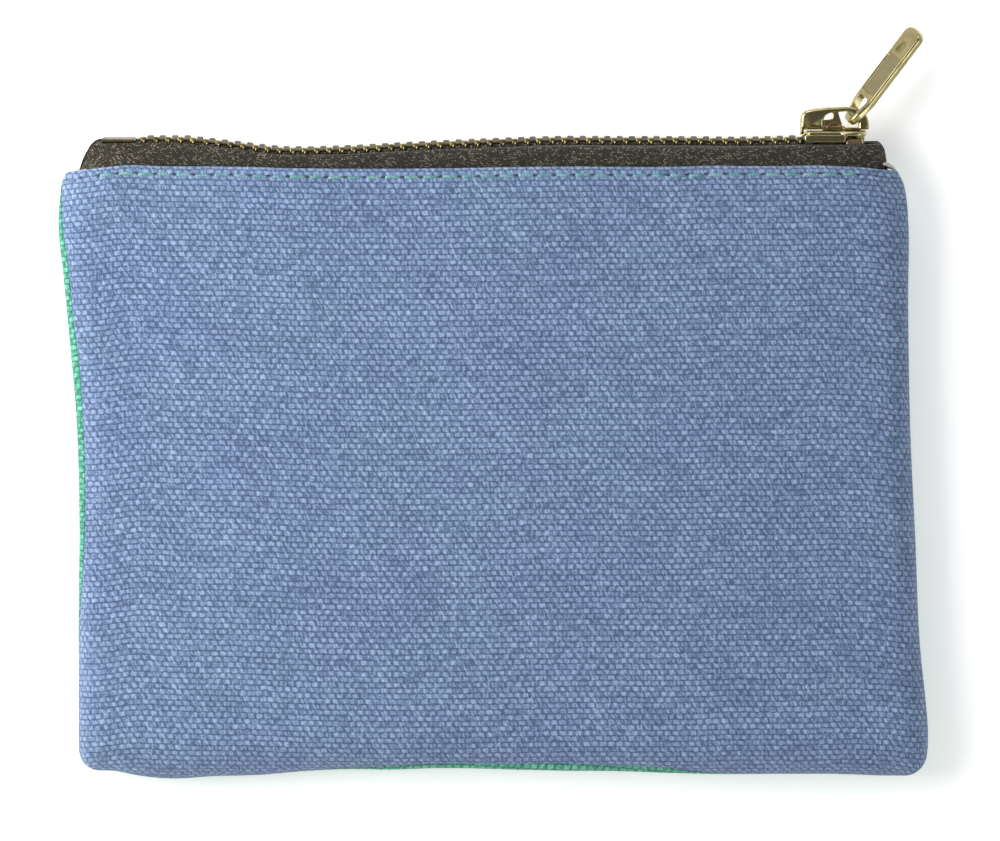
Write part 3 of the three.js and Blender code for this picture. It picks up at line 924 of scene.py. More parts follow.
@dataclass
class Envelope:
    """The closed pouch's outside: its outline and its height over the plan.

    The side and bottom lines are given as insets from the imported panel's box.
    """

    left_inset: tuple = (
        (-51, 2.45), (-23, 2.45), (-8, 2.55), (9, 2.0), (21, 0.95), (33, -0.2), (41, -1.0), (46, -0.65),
        (49.2, -0.1), (51, 1.2),
    )
    right_inset: tuple = (
        (-51, -0.5), (-45, -0.85), (-39, -0.4), (-32, 0.35), (-12, 1.3), (5, 2.1), (29, 2.5), (42, 2.5),
        (46, 2.85), (49.2, 3.7), (51, 5.2),
    )
    bottom_inset: tuple = (
        (-64.1, -0.4), (-60.4, -1.2), (-54.7, -1.75), (-47.2, -1.35), (-39.8, -1.15), (-32.3, -0.5),
        (-24.8, -0.15), (-17.3, -0.25), (-9.8, 0.0), (5.2, -0.3), (12.7, -0.45), (20.2, -0.5),
        (27.7, -0.75), (35.2, -0.95), (50.2, -0.95), (57.7, -0.95), (65.2, -1.25),
    )
    fold_inset: tuple = (
        (-73, 1.0), (-68, 0.55), (-62, -0.05), (-58, 0.1), (-44, 0.25), (-34, 0.5), (-5, 0.5), (4, 0.35),
        (14, 0.25), (34, 0.25), (40, 0.1), (46, 0.15), (52, 0.15), (58, 0.05), (63, 0.2), (67, 0.4),
        (70, 0.7),
    )
    left_wrap: tuple = (
        (-51, 0.0), (-31, 0.0), (-26, 0.25), (-20, 0.65), (-7, 1.1), (1, 1.2), (9, 1.3), (17, 1.5),
        (25, 1.15), (37, 1.15), (41, 0.75), (46, 0.2), (51, 0.0),
    )
    bottom_wrap: tuple = (
        (-66.0, 0.0), (-30.4, 0.0), (-24.8, 0.25), (-17.3, 0.7), (-2.3, 0.9), (12.7, 1.3), (20.2, 1.05),
        (27.7, 1.0), (35.2, 0.4), (40.8, 0.05), (52.1, 0.05), (57.7, 0.2), (63.3, 0.0), (69.0, 0.0),
    )
    right_wrap: tuple = ((-51, 0.0), (-45, 0.0), (-38, -0.12), (-25, -0.4), (0, -0.45), (51, -0.5))
    corner: float = 3.6
    side_roll: float = 4.6
    bottom_roll: float = 6.5
    end_roll: float = 9.0
    crown: float = 0.12

    def __post_init__(self) -> None:
        """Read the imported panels' boxes."""
        front, back = millimetres("front_panel"), millimetres("back_panel")
        self.low, self.high = np.minimum(front[0], back[0]), np.maximum(front[1], back[1])
        self.middle = (self.low[2] + self.high[2]) / 2
        self.half = (self.high[2] - self.low[2]) / 2
        insets = [f"{edge}_inset" for edge in ("left", "right", "bottom", "fold")]
        wraps = [f"{edge}_wrap" for edge in ("left", "right", "bottom")]
        self.curves = {name: smooth_curve(getattr(self, name)) for name in insets + wraps}
        self.broad = Ripple(7, 46)
        self.small = Ripple(19, 15, 42, 32)
        self.pucker = Ripple(31, 6.4)

    def roll(self, edge: str) -> float:
        """Return how wide the roll along an edge is."""
        return self.bottom_roll if edge == "bottom" else self.side_roll

    def bottom(self, x: Array) -> Array:
        """Return the bottom edge's y at each x."""
        return self.low[1] + self.curves["bottom_inset"](x)

    def fold(self, x: Array) -> Array:
        """Return the y of the fold below the zipper at each x."""
        return self.high[1] - self.curves["fold_inset"](x)

    def sides(self, x: Array, y: Array) -> tuple[Array, Array]:
        """Return the left and right edges' x at each y, rounded at the bottom corners.

        Args:
            x: places along the zipper.
            y: places up from the bottom seam.

        Returns:
            The x of the left edge and of the right edge.
        """
        above = np.clip(y - self.bottom(x), 0, self.corner)
        rounding = self.corner - np.sqrt(np.maximum(self.corner**2 - (self.corner - above) ** 2, 0))
        left = self.low[0] + self.curves["left_inset"](y) + rounding
        return left, self.high[0] - self.curves["right_inset"](y) - rounding

    def seam_angle(self, side: Side, edge: str, place: Array) -> Array:
        """Return where a panel's seam lies on the rolled edge.

        Args:
            side: the panel.
            edge: "left", "right" or "bottom".
            place: places along the edge.

        Returns:
            Angles from the pouch's widest line, positive towards the panel's own face.
        """
        wrap = self.curves[f"{edge}_wrap"](place)
        return side.value * np.sign(wrap) * np.arccos(1 - np.abs(wrap) / self.roll(edge))

    def swell(self, x: Array, y: Array) -> Array:
        """Return how far the cloth stands from the seam plane, from 0 at the edges to 1.

        Args:
            x: places along the zipper.
            y: places up from the bottom seam.

        Returns:
            Shares of the full height.
        """
        left, right = self.sides(x, y)
        top_share = np.exp(-(((self.high[1] - y) / 9.0) ** 2))
        roll = self.side_roll + (self.end_roll - self.side_roll) * top_share
        shares = [(x - left) / roll, (right - x) / roll, (y - self.bottom(x)) / self.bottom_roll]
        shares = [np.maximum(share, 1e-4) for share in shares]
        near = sum(share**-3.0 for share in shares) ** (-1 / 3)
        round_edge = np.sqrt(1 - (1 - np.clip(near, 0, 1)) ** 2)
        dome = 1 - np.exp(-near * self.side_roll / 16.0)
        return round_edge * (1 - self.crown) + self.crown * dome

    def height(self, side: Side, x: Array, y: Array) -> Array:
        """Return the z of the outer surface of a panel over a place in plan.

        Args:
            side: which panel it is.
            x: places along the zipper.
            y: places up from the bottom seam.

        Returns:
            Heights, in millimetres.
        """
        swell = self.swell(x, y)
        edge = np.exp(-((1 - swell) ** 2) * 0.2)
        if side is Side.BACK:
            lift = 0.1 * (1 + self.broad.at(x, y)) * swell * edge
            return self.middle - (self.half - lift) * swell
        loose = 0.32 * self.broad.at(x, y) + 0.13 * self.small.at(x, y) - 0.35
        below = self.fold(x) - y
        along_seams = np.exp(-((swell - 0.8) ** 2) / 0.02) * 0.12 * self.pucker.at(x, y)
        under_stitch = 0.2 * np.exp(-(((below - STITCH_BELOW_FOLD) / 0.55) ** 2))
        gather = 0.06 * np.sin((x - STITCH_START) * 2 * math.pi / STITCH_PITCH)
        gather = gather * np.exp(-(((below - 1.9) / 1.6) ** 2))
        return self.middle + self.half * swell + loose * swell + along_seams - under_stitch + gather * swell


@dataclass
class CanvasPanel:
    """One canvas panel: a crowned sheet with its edges turned in at the seam and at the zipper."""

    side: Side
    envelope: Envelope
    thick: float = 0.5
    seam_radius: float = 0.28
    seam_tail: float = 1.2
    fold_radius: float = 0.55
    fold_tail: float = 6.0
    spacing: float = 1.5
    edge_steps: tuple = (0.0, 0.15, 0.4, 0.8, 1.3, 2.0, 3.0, 4.3, 6.0, 8.0)
    wrap_steps: int = 4

    def stations(self, low: Array, high: Array, count: int, both: bool) -> Array:
        """Space places between two edges, closer at the first and, if asked, at the last.

        Args:
            low: the first edge, as a column.
            high: the last edge, as a column.
            count: how many even places lie between the edges' own.
            both: whether the last edge has close places too.

        Returns:
            One row of places for each row of the edges.
        """
        steps = np.array(self.edge_steps)
        first = low + steps
        last = high - steps[::-1] if both else high
        share = np.linspace(0, 1, count + 2)[1:-1]
        between = first[:, -1:] + (last[:, :1] - first[:, -1:]) * share
        return np.concatenate([first, between, last], axis=1)

    def lattice(self) -> tuple[Array, Array]:
        """Return the x and y of the panel's lattice, without its turned edges.

        Returns:
            The x and the y of each point, row by row.
        """
        e = self.envelope
        columns = int((e.high[0] - e.low[0]) / self.spacing)
        rows = int((e.high[1] - e.low[1]) / self.spacing)
        level = np.array([[0.0]])
        rough_x = self.stations(level + e.low[0], level + e.high[0], columns, True)[0]
        top = e.fold(rough_x) - self.fold_radius
        steps = np.array(self.edge_steps)
        first, last = len(steps) - 1, -len(steps)
        even = (rough_x - rough_x[first]) / (rough_x[last] - rough_x[first])
        x = rough_x[None, :]
        for _ in range(4):
            bottom = e.bottom(x[0]) + self.inset("bottom", x[0])
            y = self.stations(bottom[:, None], top[:, None], rows, False).T
            left, right = e.sides(x, y)
            left = left + self.inset("left", y)
            right = right - self.inset("right", y)
            x = left + 0 * y
            for k, step in enumerate(steps):
                x[:, k] = left[:, k] + step
                x[:, -1 - k] = right[:, -1 - k] - step
            start, end = x[:, first : first + 1], x[:, last : last + 1]
            x[:, first:last] = (start + (end - start) * even)[:, first:last]
        return x, y

    def stop_angle(self, edge: str, place: Array) -> Array:
        """Return the angle where the sheet starts to turn in, short of its seam.

        Args:
            edge: "left", "right" or "bottom".
            place: places along the edge.

        Returns:
            Angles from the pouch's widest line.
        """
        e = self.envelope
        return e.seam_angle(self.side, edge, place) + self.seam_radius / e.roll(edge)

    def inset(self, edge: str, place: Array) -> Array:
        """Return how far inside the pouch's widest line the lattice ends."""
        turn = np.maximum(self.stop_angle(edge, place), 0.02)
        return self.envelope.roll(edge) * (1 - np.cos(turn))

    @staticmethod
    def cut_coordinates(points: Array) -> Array:
        """Measure along the rows and columns of a lattice, as the cloth was cut flat.

        Args:
            points: a lattice of points.

        Returns:
            Two coordinates for each point.
        """
        middle = points.shape[1] // 2
        along = np.linalg.norm(np.diff(points, axis=1), axis=2)
        u = np.concatenate([np.zeros((len(points), 1)), np.cumsum(along, axis=1)], axis=1)
        u = u - u[:, middle : middle + 1] + points[:, middle : middle + 1, 0]
        up = np.linalg.norm(np.diff(points, axis=0), axis=2)
        v = np.concatenate([np.zeros((1, points.shape[1])), np.cumsum(up, axis=0)], axis=0)
        return np.stack([u, v - v[-1]], axis=-1)

    def turned(
        self, edge: Array, tangent: Array, normal: Array, radius: float, sweep: float, tail: float
    ) -> list[tuple[Array, float]]:
        """Turn an edge of cloth in.

        Args:
            edge: the last points of the sheet.
            tangent: the direction out along the sheet at each point.
            normal: the sheet's outward direction at each point.
            radius: the radius of the turn.
            sweep: how far it turns, in radians.
            tail: how much cloth follows the turn.

        Returns:
            Rings of points, each with its distance along the cloth.
        """
        rings = []
        steps = 3 if sweep < 2 else 6
        for angle in np.linspace(0, sweep, steps + 1)[1:]:
            ring = edge + tangent * radius * math.sin(angle) - normal * radius * (1 - math.cos(angle))
            rings.append((ring, radius * angle))
        onward = tangent * math.cos(sweep) - normal * math.sin(sweep)
        for share in (0.3, 1.0):
            rings.append((rings[steps - 1][0] + onward * tail * share, radius * sweep + tail * share))
        return rings

    def build(self) -> Cloth:
        """Return the panel's whole surface.

        Returns:
            The surface.
        """
        e, side = self.envelope, self.side
        x, y = self.lattice()
        z = e.height(side, x, y)
        points = np.stack([x, y, z], axis=-1)
        flat = self.cut_coordinates(points)
        cloth = Cloth()
        below_fold = e.fold(x) - y
        at_edges = 0.7 * np.exp(-(((e.swell(x, y) - 0.45) / 0.3) ** 2))
        wear = at_edges + 0.5 * np.exp(-(below_fold**2))
        numbers = cloth.add(points, flat, wear)
        flip = side is Side.BACK
        cloth.weave(numbers, flip)
        self.close_seam(cloth, points, flat, numbers, flip)
        self.close_fold(cloth, points, flat, numbers, flip)
        return cloth

    def close_seam(self, cloth: Cloth, points: Array, flat: Array, numbers: Array, flip: bool) -> None:
        """Add the rings beyond the lattice's sides and bottom, as far as the turned seam edge.

        Args:
            cloth: the surface that the faces are added to.
            points: the lattice's points.
            flat: their places on the flat cloth.
            numbers: their numbers in the cloth.
            flip: whether the lattice's faces were turned round.
        """
        rows, columns = numbers.shape
        path = [(r, 0) for r in range(rows - 1, 0, -1)] + [(0, c) for c in range(columns)]
        path += [(r, columns - 1) for r in range(1, rows)]
        r, c = np.array(path).T
        edge, cut = points[r, c], flat[r, c]
        inner = points[np.clip(r, 1, None), np.clip(c, 1, columns - 2)]
        along = unit(np.gradient(edge, axis=0))
        out_flat = np.where((c == columns - 1)[:, None], [1.0, 0.0], [0.0, -1.0])
        out_flat = np.where((c == 0)[:, None], [-1.0, 0.0], out_flat)
        corner = (r == 0) & ((c == 0) | (c == columns - 1))
        out_flat = np.where(corner[:, None], out_flat * 0.7 + [0.0, -0.7], out_flat)
        inward = unit(np.stack([-along[:, 1], along[:, 0], np.zeros(len(r))], axis=1))
        rings = [(edge, 0.0)]
        e, sign = self.envelope, self.side.value
        roll = np.where(r == 0, e.bottom_roll, e.side_roll)
        stop = np.where(c == 0, self.stop_angle("left", edge[:, 1]), self.stop_angle("right", edge[:, 1]))
        stop = np.where((r == 0) & (c > 0) & (c < columns - 1), self.stop_angle("bottom", edge[:, 0]), stop)
        for _ in range(4):
            stop[1:-1] = (stop[:-2] + stop[1:-1] * 2 + stop[2:]) / 4
        start = np.maximum(stop, 0.02)
        stop = np.minimum(stop, start - 0.015)
        rise = e.half * (1 - e.crown)
        for k in range(1, self.wrap_steps + 1):
            angle = start + (stop - start) * k / self.wrap_steps
            ring = edge + inward * (roll * (np.cos(start) - np.cos(angle)))[:, None]
            ring[:, 2] = edge[:, 2] + sign * rise * (np.sin(angle) - np.sin(start))
            rings.append((ring, float(np.mean(start - angle)) * 5))
        inner = np.where((start - stop)[:, None] > 0.05, rings[-2][0], inner)
        edge = rings[-1][0]
        tangent = unit(edge - inner)
        tangent = unit(tangent - along * (tangent * along).sum(1, keepdims=True))
        normal = unit(np.cross(along, tangent))
        normal = np.where((normal * (edge - self.centre())).sum(1, keepdims=True) < 0, -normal, normal)
        base = rings[-1][1]
        turned = self.turned(edge, tangent, normal, self.seam_radius - 0.05, math.pi / 2, self.seam_tail)
        rings += [(ring, base + length) for ring, length in turned]
        rows_of_numbers = [numbers[r, c]]
        for ring, length in rings[1:]:
            rows_of_numbers.append(cloth.add(ring, cut + out_flat * length, 0.15))
        cloth.weave(np.array(rows_of_numbers), not flip)

    def centre(self) -> Array:
        """Return the middle of the pouch."""
        return np.array([0.0, 0.0, self.envelope.middle])

    def close_fold(self, cloth: Cloth, points: Array, flat: Array, numbers: Array, flip: bool) -> None:
        """Add the cloth that is turned in at the zipper.

        Args:
            cloth: the surface that the faces are added to.
            points: the lattice's points.
            flat: their places on the flat cloth.
            numbers: their numbers in the cloth.
            flip: whether the lattice's faces were turned round.
        """
        edge, cut = points[-1], flat[-1]
        tangent = np.tile([0.0, 1.0, 0.0], (len(edge), 1))
        along = unit(np.gradient(edge, axis=0))
        normal = unit(np.cross(along, tangent)) * self.side.value
        tangent = unit(np.cross(normal, along)) * self.side.value
        tangent = np.where(tangent[:, 1:2] < 0, -tangent, tangent)
        rows_of_numbers = [numbers[-1]]
        turned = self.turned(edge, tangent, normal, self.fold_radius, math.pi, self.fold_tail)
        for k, (ring, length) in enumerate(turned):
            worn = 0.6 if k < 3 else 0.0
            rows_of_numbers.append(cloth.add(ring, cut + np.array([0.0, 1.0]) * length, worn))
        cloth.weave(np.array(rows_of_numbers), flip)

    def dress(self, wardrobe: Wardrobe, stitches: Piece) -> Piece:
        """Args:
            wardrobe: the finishes.
            stitches: the topstitching sewn through it; not used.

        Returns:
            The panel's object.
        """
        finish = "blue duck" if self.side is Side.FRONT else "green duck"
        word = self.side.word
        piece = self.build().piece(f"{word}_canvas", wardrobe.get(finish), self.thick)
        wardrobe.hand_over(piece, POUCH, finish, f"{word}_panel")
        return piece


@dataclass
class LiningBag:
    """The thin cotton bag inside, with the small folds of it that show at the zipper's ends."""

    envelope: Envelope
    thick: float = 0.25
    inset: float = 8.6
    sink: float = 2.0
    top_below_fold: float = 1.4
    spacing: float = 2.4

    def panel(self, side: Side, wardrobe: Wardrobe, folds: list[Piece]) -> Piece:
        """Make one lining panel.

        Args:
            side: which panel it lies against.
            wardrobe: the finishes.
            folds: the small folds of it at the ends of the mouth; not used.

        Returns:
            The panel's object.
        """
        e = self.envelope
        columns = int((e.high[0] - e.low[0]) / self.spacing)
        rows = int((e.high[1] - e.low[1]) / self.spacing)
        share_x, share_y = np.meshgrid(np.linspace(0, 1, columns), np.linspace(0, 1, rows))
        low_y = e.low[1] + self.inset
        y = low_y + (e.high[1] - self.top_below_fold - low_y) * share_y
        left, right = e.sides(np.zeros_like(y), y)
        x = left + self.inset + (right - left - 2 * self.inset) * share_x
        near = np.minimum(np.minimum(share_x, 1 - share_x) * (right - left), (y - low_y)) / 4.0
        round_edge = np.sqrt(1 - (1 - np.clip(near, 0.002, 1)) ** 2)
        sag = 0.25 * Ripple(53 + side.value, 13).at(x, y)
        z = e.middle + side.value * ((e.half - self.sink - 0.3 + sag) * round_edge + 0.2)
        points = np.stack([x, y, z], axis=-1)
        cloth = Cloth()
        cloth.weave(cloth.add(points, CanvasPanel.cut_coordinates(points)), side is Side.BACK)
        finish = "unbleached cotton"
        piece = cloth.piece(f"{side.word}_lining_cloth", wardrobe.get(finish), self.thick)
        wardrobe.hand_over(piece, POUCH, finish, f"{side.word}_lining")
        return piece

    def end_fold(self, name: str, out: int, x: float, y: float, wide: float, wardrobe: Wardrobe) -> Piece:
        """Make the pale web of lining that closes one end of the mouth beside the tape.

        Args:
            name: the piece's name.
            out: -1 at the left end and 1 at the right.
            x: where the web's inner edge stands.
            y: how high its middle stands.
            wide: how far it reaches outwards.
            wardrobe: the finishes.

        Returns:
            The web's object.
        """
        e = self.envelope
        share_x, share_z = np.meshgrid(np.linspace(0, 1, 9), np.linspace(-1, 1, 25))
        px = x + out * wide * share_x
        room = e.half * e.swell(px, np.full_like(px, y - 1.5)) - 1.0
        pz = e.middle + share_z * np.maximum(room, 0.15)
        lift = np.sqrt(np.clip(1 - share_x**2.2, 0, 1)) * (1 - 0.25 * np.abs(share_z) ** 3)
        py = y - 2.6 + 2.6 * lift + 0.18 * Ripple(71 + out, 2.6).at(px, pz)
        points = np.stack([px, py, pz], axis=-1)
        cloth = Cloth()
        cloth.weave(cloth.add(points, CanvasPanel.cut_coordinates(points)), out < 0)
        piece = cloth.piece(name, wardrobe.get("unbleached cotton"), self.thick)
        return wardrobe.hand_over(piece, POUCH, "unbleached cotton")


# ---- The zipper ----


@dataclass
class Chain:
    """Where the zipper's chain runs: its own frame, and the dip in its middle."""

    dip: tuple = (
        (-52, 0.0), (-44, 0.9), (-36, 1.8), (-27, 1.75), (-16, 1.2), (-7, 0.75), (2, 0.4), (12, 0.1),
        (20, 0.15), (30, 0.15), (45, 0.2), (51, 0.0),
    )

    def __post_init__(self) -> None:
        """Read the chain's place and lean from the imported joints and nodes."""
        hinge = next(j for j in frame["joints"] if j["name"] == "pull_swing")
        axis = Vector(hinge["axis"]).normalized()
        self.lean = math.atan2(-axis.y, axis.z)
        front, back = millimetres("front_teeth"), millimetres("back_teeth")
        self.middle = (np.minimum(front[0], back[0]) + np.maximum(front[1], back[1])) / 2
        self.dip_curve = smooth_curve(self.dip)
        self.turn = Matrix.Rotation(self.lean, 4, "X")

    def place(self, x: float = 0.0, dipped: bool = False) -> Matrix:
        """Return the matrix from the chain's frame to the row frame.

        Args:
            x: the place along the chain.
            dipped: whether the chain's dip there is followed.

        Returns:
            The matrix, in millimetres.
        """
        y = self.middle[1] - (float(self.dip_curve(np.array(x))) if dipped else 0.0)
        return Matrix.Translation((x, y, self.middle[2])) @ self.turn

    def bend(self, points: Array) -> Array:
        """Take points from the straight chain's frame into the row frame, along the dip.

        Args:
            points: places in the straight chain's frame.

        Returns:
            The places in the row frame.
        """
        turn = np.array(self.turn)[:3, :3]
        moved = points @ turn.T + np.array([0.0, self.middle[1], self.middle[2]])
        moved[..., 1] -= self.dip_curve(points[..., 0])
        return moved


@dataclass
class ZipperTape:
    """One tape: a corded edge at the teeth, a flat run out past the slider, and a skirt turned down."""

    side: Side
    chain: Chain
    envelope: Envelope
    thick: float = 0.4
    bead: float = 0.42
    bead_at: float = 1.65
    flat_to: float = 3.55
    turn_radius: float = 1.15
    skirt: float = 8.5
    closed_inner: float = 0.3
    end_left: float = -69.75
    end_right: float = 66.2
    shoulder_left: float = 2.8
    shoulder_right: float = 1.3
    swell: tuple = (
        (-66, 0.75), (-56, 0.8), (-46, 0.7), (-38, 0.6), (-30, 0.55), (-8, 0.42), (22, 0.05),
        (35, -0.05), (52, -0.05), (62, 0.0),
    )

    def section(self, x: Array) -> tuple[Array, Array]:
        """Return the tape's cross-section at each x.

        Args:
            x: places along the chain.

        Returns:
            Points in the chain's frame with z towards the tape's own side, as an array of
            places by points by (x, y, z), and the distance of each point along the tape.
        """
        inner = 1.95 - (1.95 - self.closed_inner) * np.maximum(
            smooth_step(-64.6, -66.4, x), smooth_step(62.9, 64.0, x)
        )
        bulge = smooth_curve(self.swell)(x)
        rows = [np.stack([x, 0 * x, inner], axis=-1)]
        for share in (0.35, 0.7, 1.0):
            rows.append(np.stack([x, 0 * x, inner + (self.flat_to - inner) * share], axis=-1))
        turn = np.radians([15, 30, 45, 60, 75, 90])
        for angle in turn:
            lift = 0.9 * bulge * math.sin(2 * angle)
            y = -self.turn_radius * (1 - math.cos(angle)) + lift
            z = self.flat_to + self.turn_radius * math.sin(angle) + 0 * x
            rows.append(np.stack([x, y, z], axis=-1))
        low = -self.turn_radius
        for share in (0.12, 0.3, 0.6, 1.0):
            y = low - (self.skirt - self.turn_radius) * share
            rows.append(np.stack([x, y + 0 * x, self.flat_to + self.turn_radius + 0 * x], axis=-1))
        points = np.stack(rows, axis=1)
        along = np.linalg.norm(np.diff(points, axis=1), axis=2)
        cut = np.concatenate([np.zeros((len(x), 1)), np.cumsum(along, axis=1)], axis=1)
        return points, cut

    def build(self) -> Cloth:
        """Return the tape's surface, with its ends drawn down into the side seams.

        Returns:
            The surface.
        """
        left = self.end_left + np.array([0.0, 0.12, 0.35, 0.75, 1.3, 2.0, 2.8, 3.6])
        right = self.end_right - np.array([1.6, 1.2, 0.85, 0.5, 0.25, 0.08, 0.0])
        x = np.concatenate([left, np.arange(left[-1] + 0.8, right[0] - 0.5, 1.05), right])
        points, cut = self.section(x)
        sign = self.side.value
        points[..., 2] *= sign
        placed = self.chain.bend(points)
        flat_y = placed[..., 1]
        skirt_share = smooth_step(0.3, 5.0, cut - self.flat_to)
        dip = self.chain.dip_curve(x)[:, None]
        flat_y = flat_y + dip * skirt_share
        drop = self.drop(x)[:, None]
        floor = self.envelope.high[1] - 3.6
        lowered = flat_y - drop * (flat_y - floor) / (self.chain.middle[1] - floor)
        placed[..., 1] = np.where(flat_y > floor, lowered, flat_y)
        self.tuck(placed, x, cut, sign)
        flat = np.stack([np.broadcast_to(x[:, None], cut.shape), cut], axis=-1)
        cloth = Cloth()
        cloth.weave(cloth.add(placed, flat), sign < 0)
        return cloth

    def drop(self, x: Array) -> Array:
        """Return how far the tape's top comes down near its ends.

        Args:
            x: places along the zipper.

        Returns:
            Depths, in millimetres.
        """
        a = np.clip((self.end_left + self.shoulder_left - x) / self.shoulder_left, 0, 1)
        b = np.clip((x - self.end_right + self.shoulder_right) / self.shoulder_right, 0, 1)
        left = 4.6 * (1 - (1 - a**1.7) ** (1 / 1.7))
        return left + 4.2 * (1 - np.sqrt(1 - b**2))

    def tuck(self, placed: Array, x: Array, cut: Array, sign: int) -> None:
        """Lay the skirt just inside the canvas, and draw it in where the canvas narrows.

        Args:
            placed: the tape's points, which are moved.
            x: places along the zipper.
            cut: how far each point is along the tape.
            sign: 1 for the front tape and -1 for the back one.
        """
        e = self.envelope
        y = np.minimum(placed[..., 1], e.high[1])
        room = e.half * e.swell(np.broadcast_to(x[:, None], y.shape), y) - 1.35
        away = (placed[..., 2] - e.middle) * sign
        lying = smooth_step(2.6, 5.2, cut - self.flat_to)
        wanted = np.minimum(room, 5.2)
        limit = np.minimum(away, np.maximum(room, 0.3))
        placed[..., 2] = e.middle + sign * (limit * (1 - lying) + wanted * lying)

    def cord(self) -> tuple[Array, list[Face]]:
        """Return the corded edge that the teeth are clamped on.

        Returns:
            Its points and its faces.
        """
        x = np.arange(-60.6, 59.3, 0.7)
        z = np.full_like(x, self.side.value * self.bead_at)
        path = self.chain.bend(np.stack([x, 0 * x, z], axis=-1))
        return tube(path, np.full(len(x), self.bead), 8)

    def dress(self, wardrobe: Wardrobe, teeth: list[Piece]) -> None:
        """Make the tape and its corded edge.

        Args:
            wardrobe: the finishes.
            teeth: the pieces clamped on the corded edge; not used.
        """
        word = self.side.word
        tape = self.build().piece(f"{word}_zipper_tape", wardrobe.get("olive tape"), self.thick)
        wardrobe.hand_over(tape, POUCH, "olive tape", f"{word}_tape")
        points, faces = self.cord()
        cord = mesh_piece(f"{word}_tape_cord", points, faces, wardrobe.get("olive tape"))
        lay_flat(cord, np.stack([points[:, 0], points[:, 1] + points[:, 2]], axis=-1))
        wardrobe.hand_over(cord, POUCH, "olive tape")


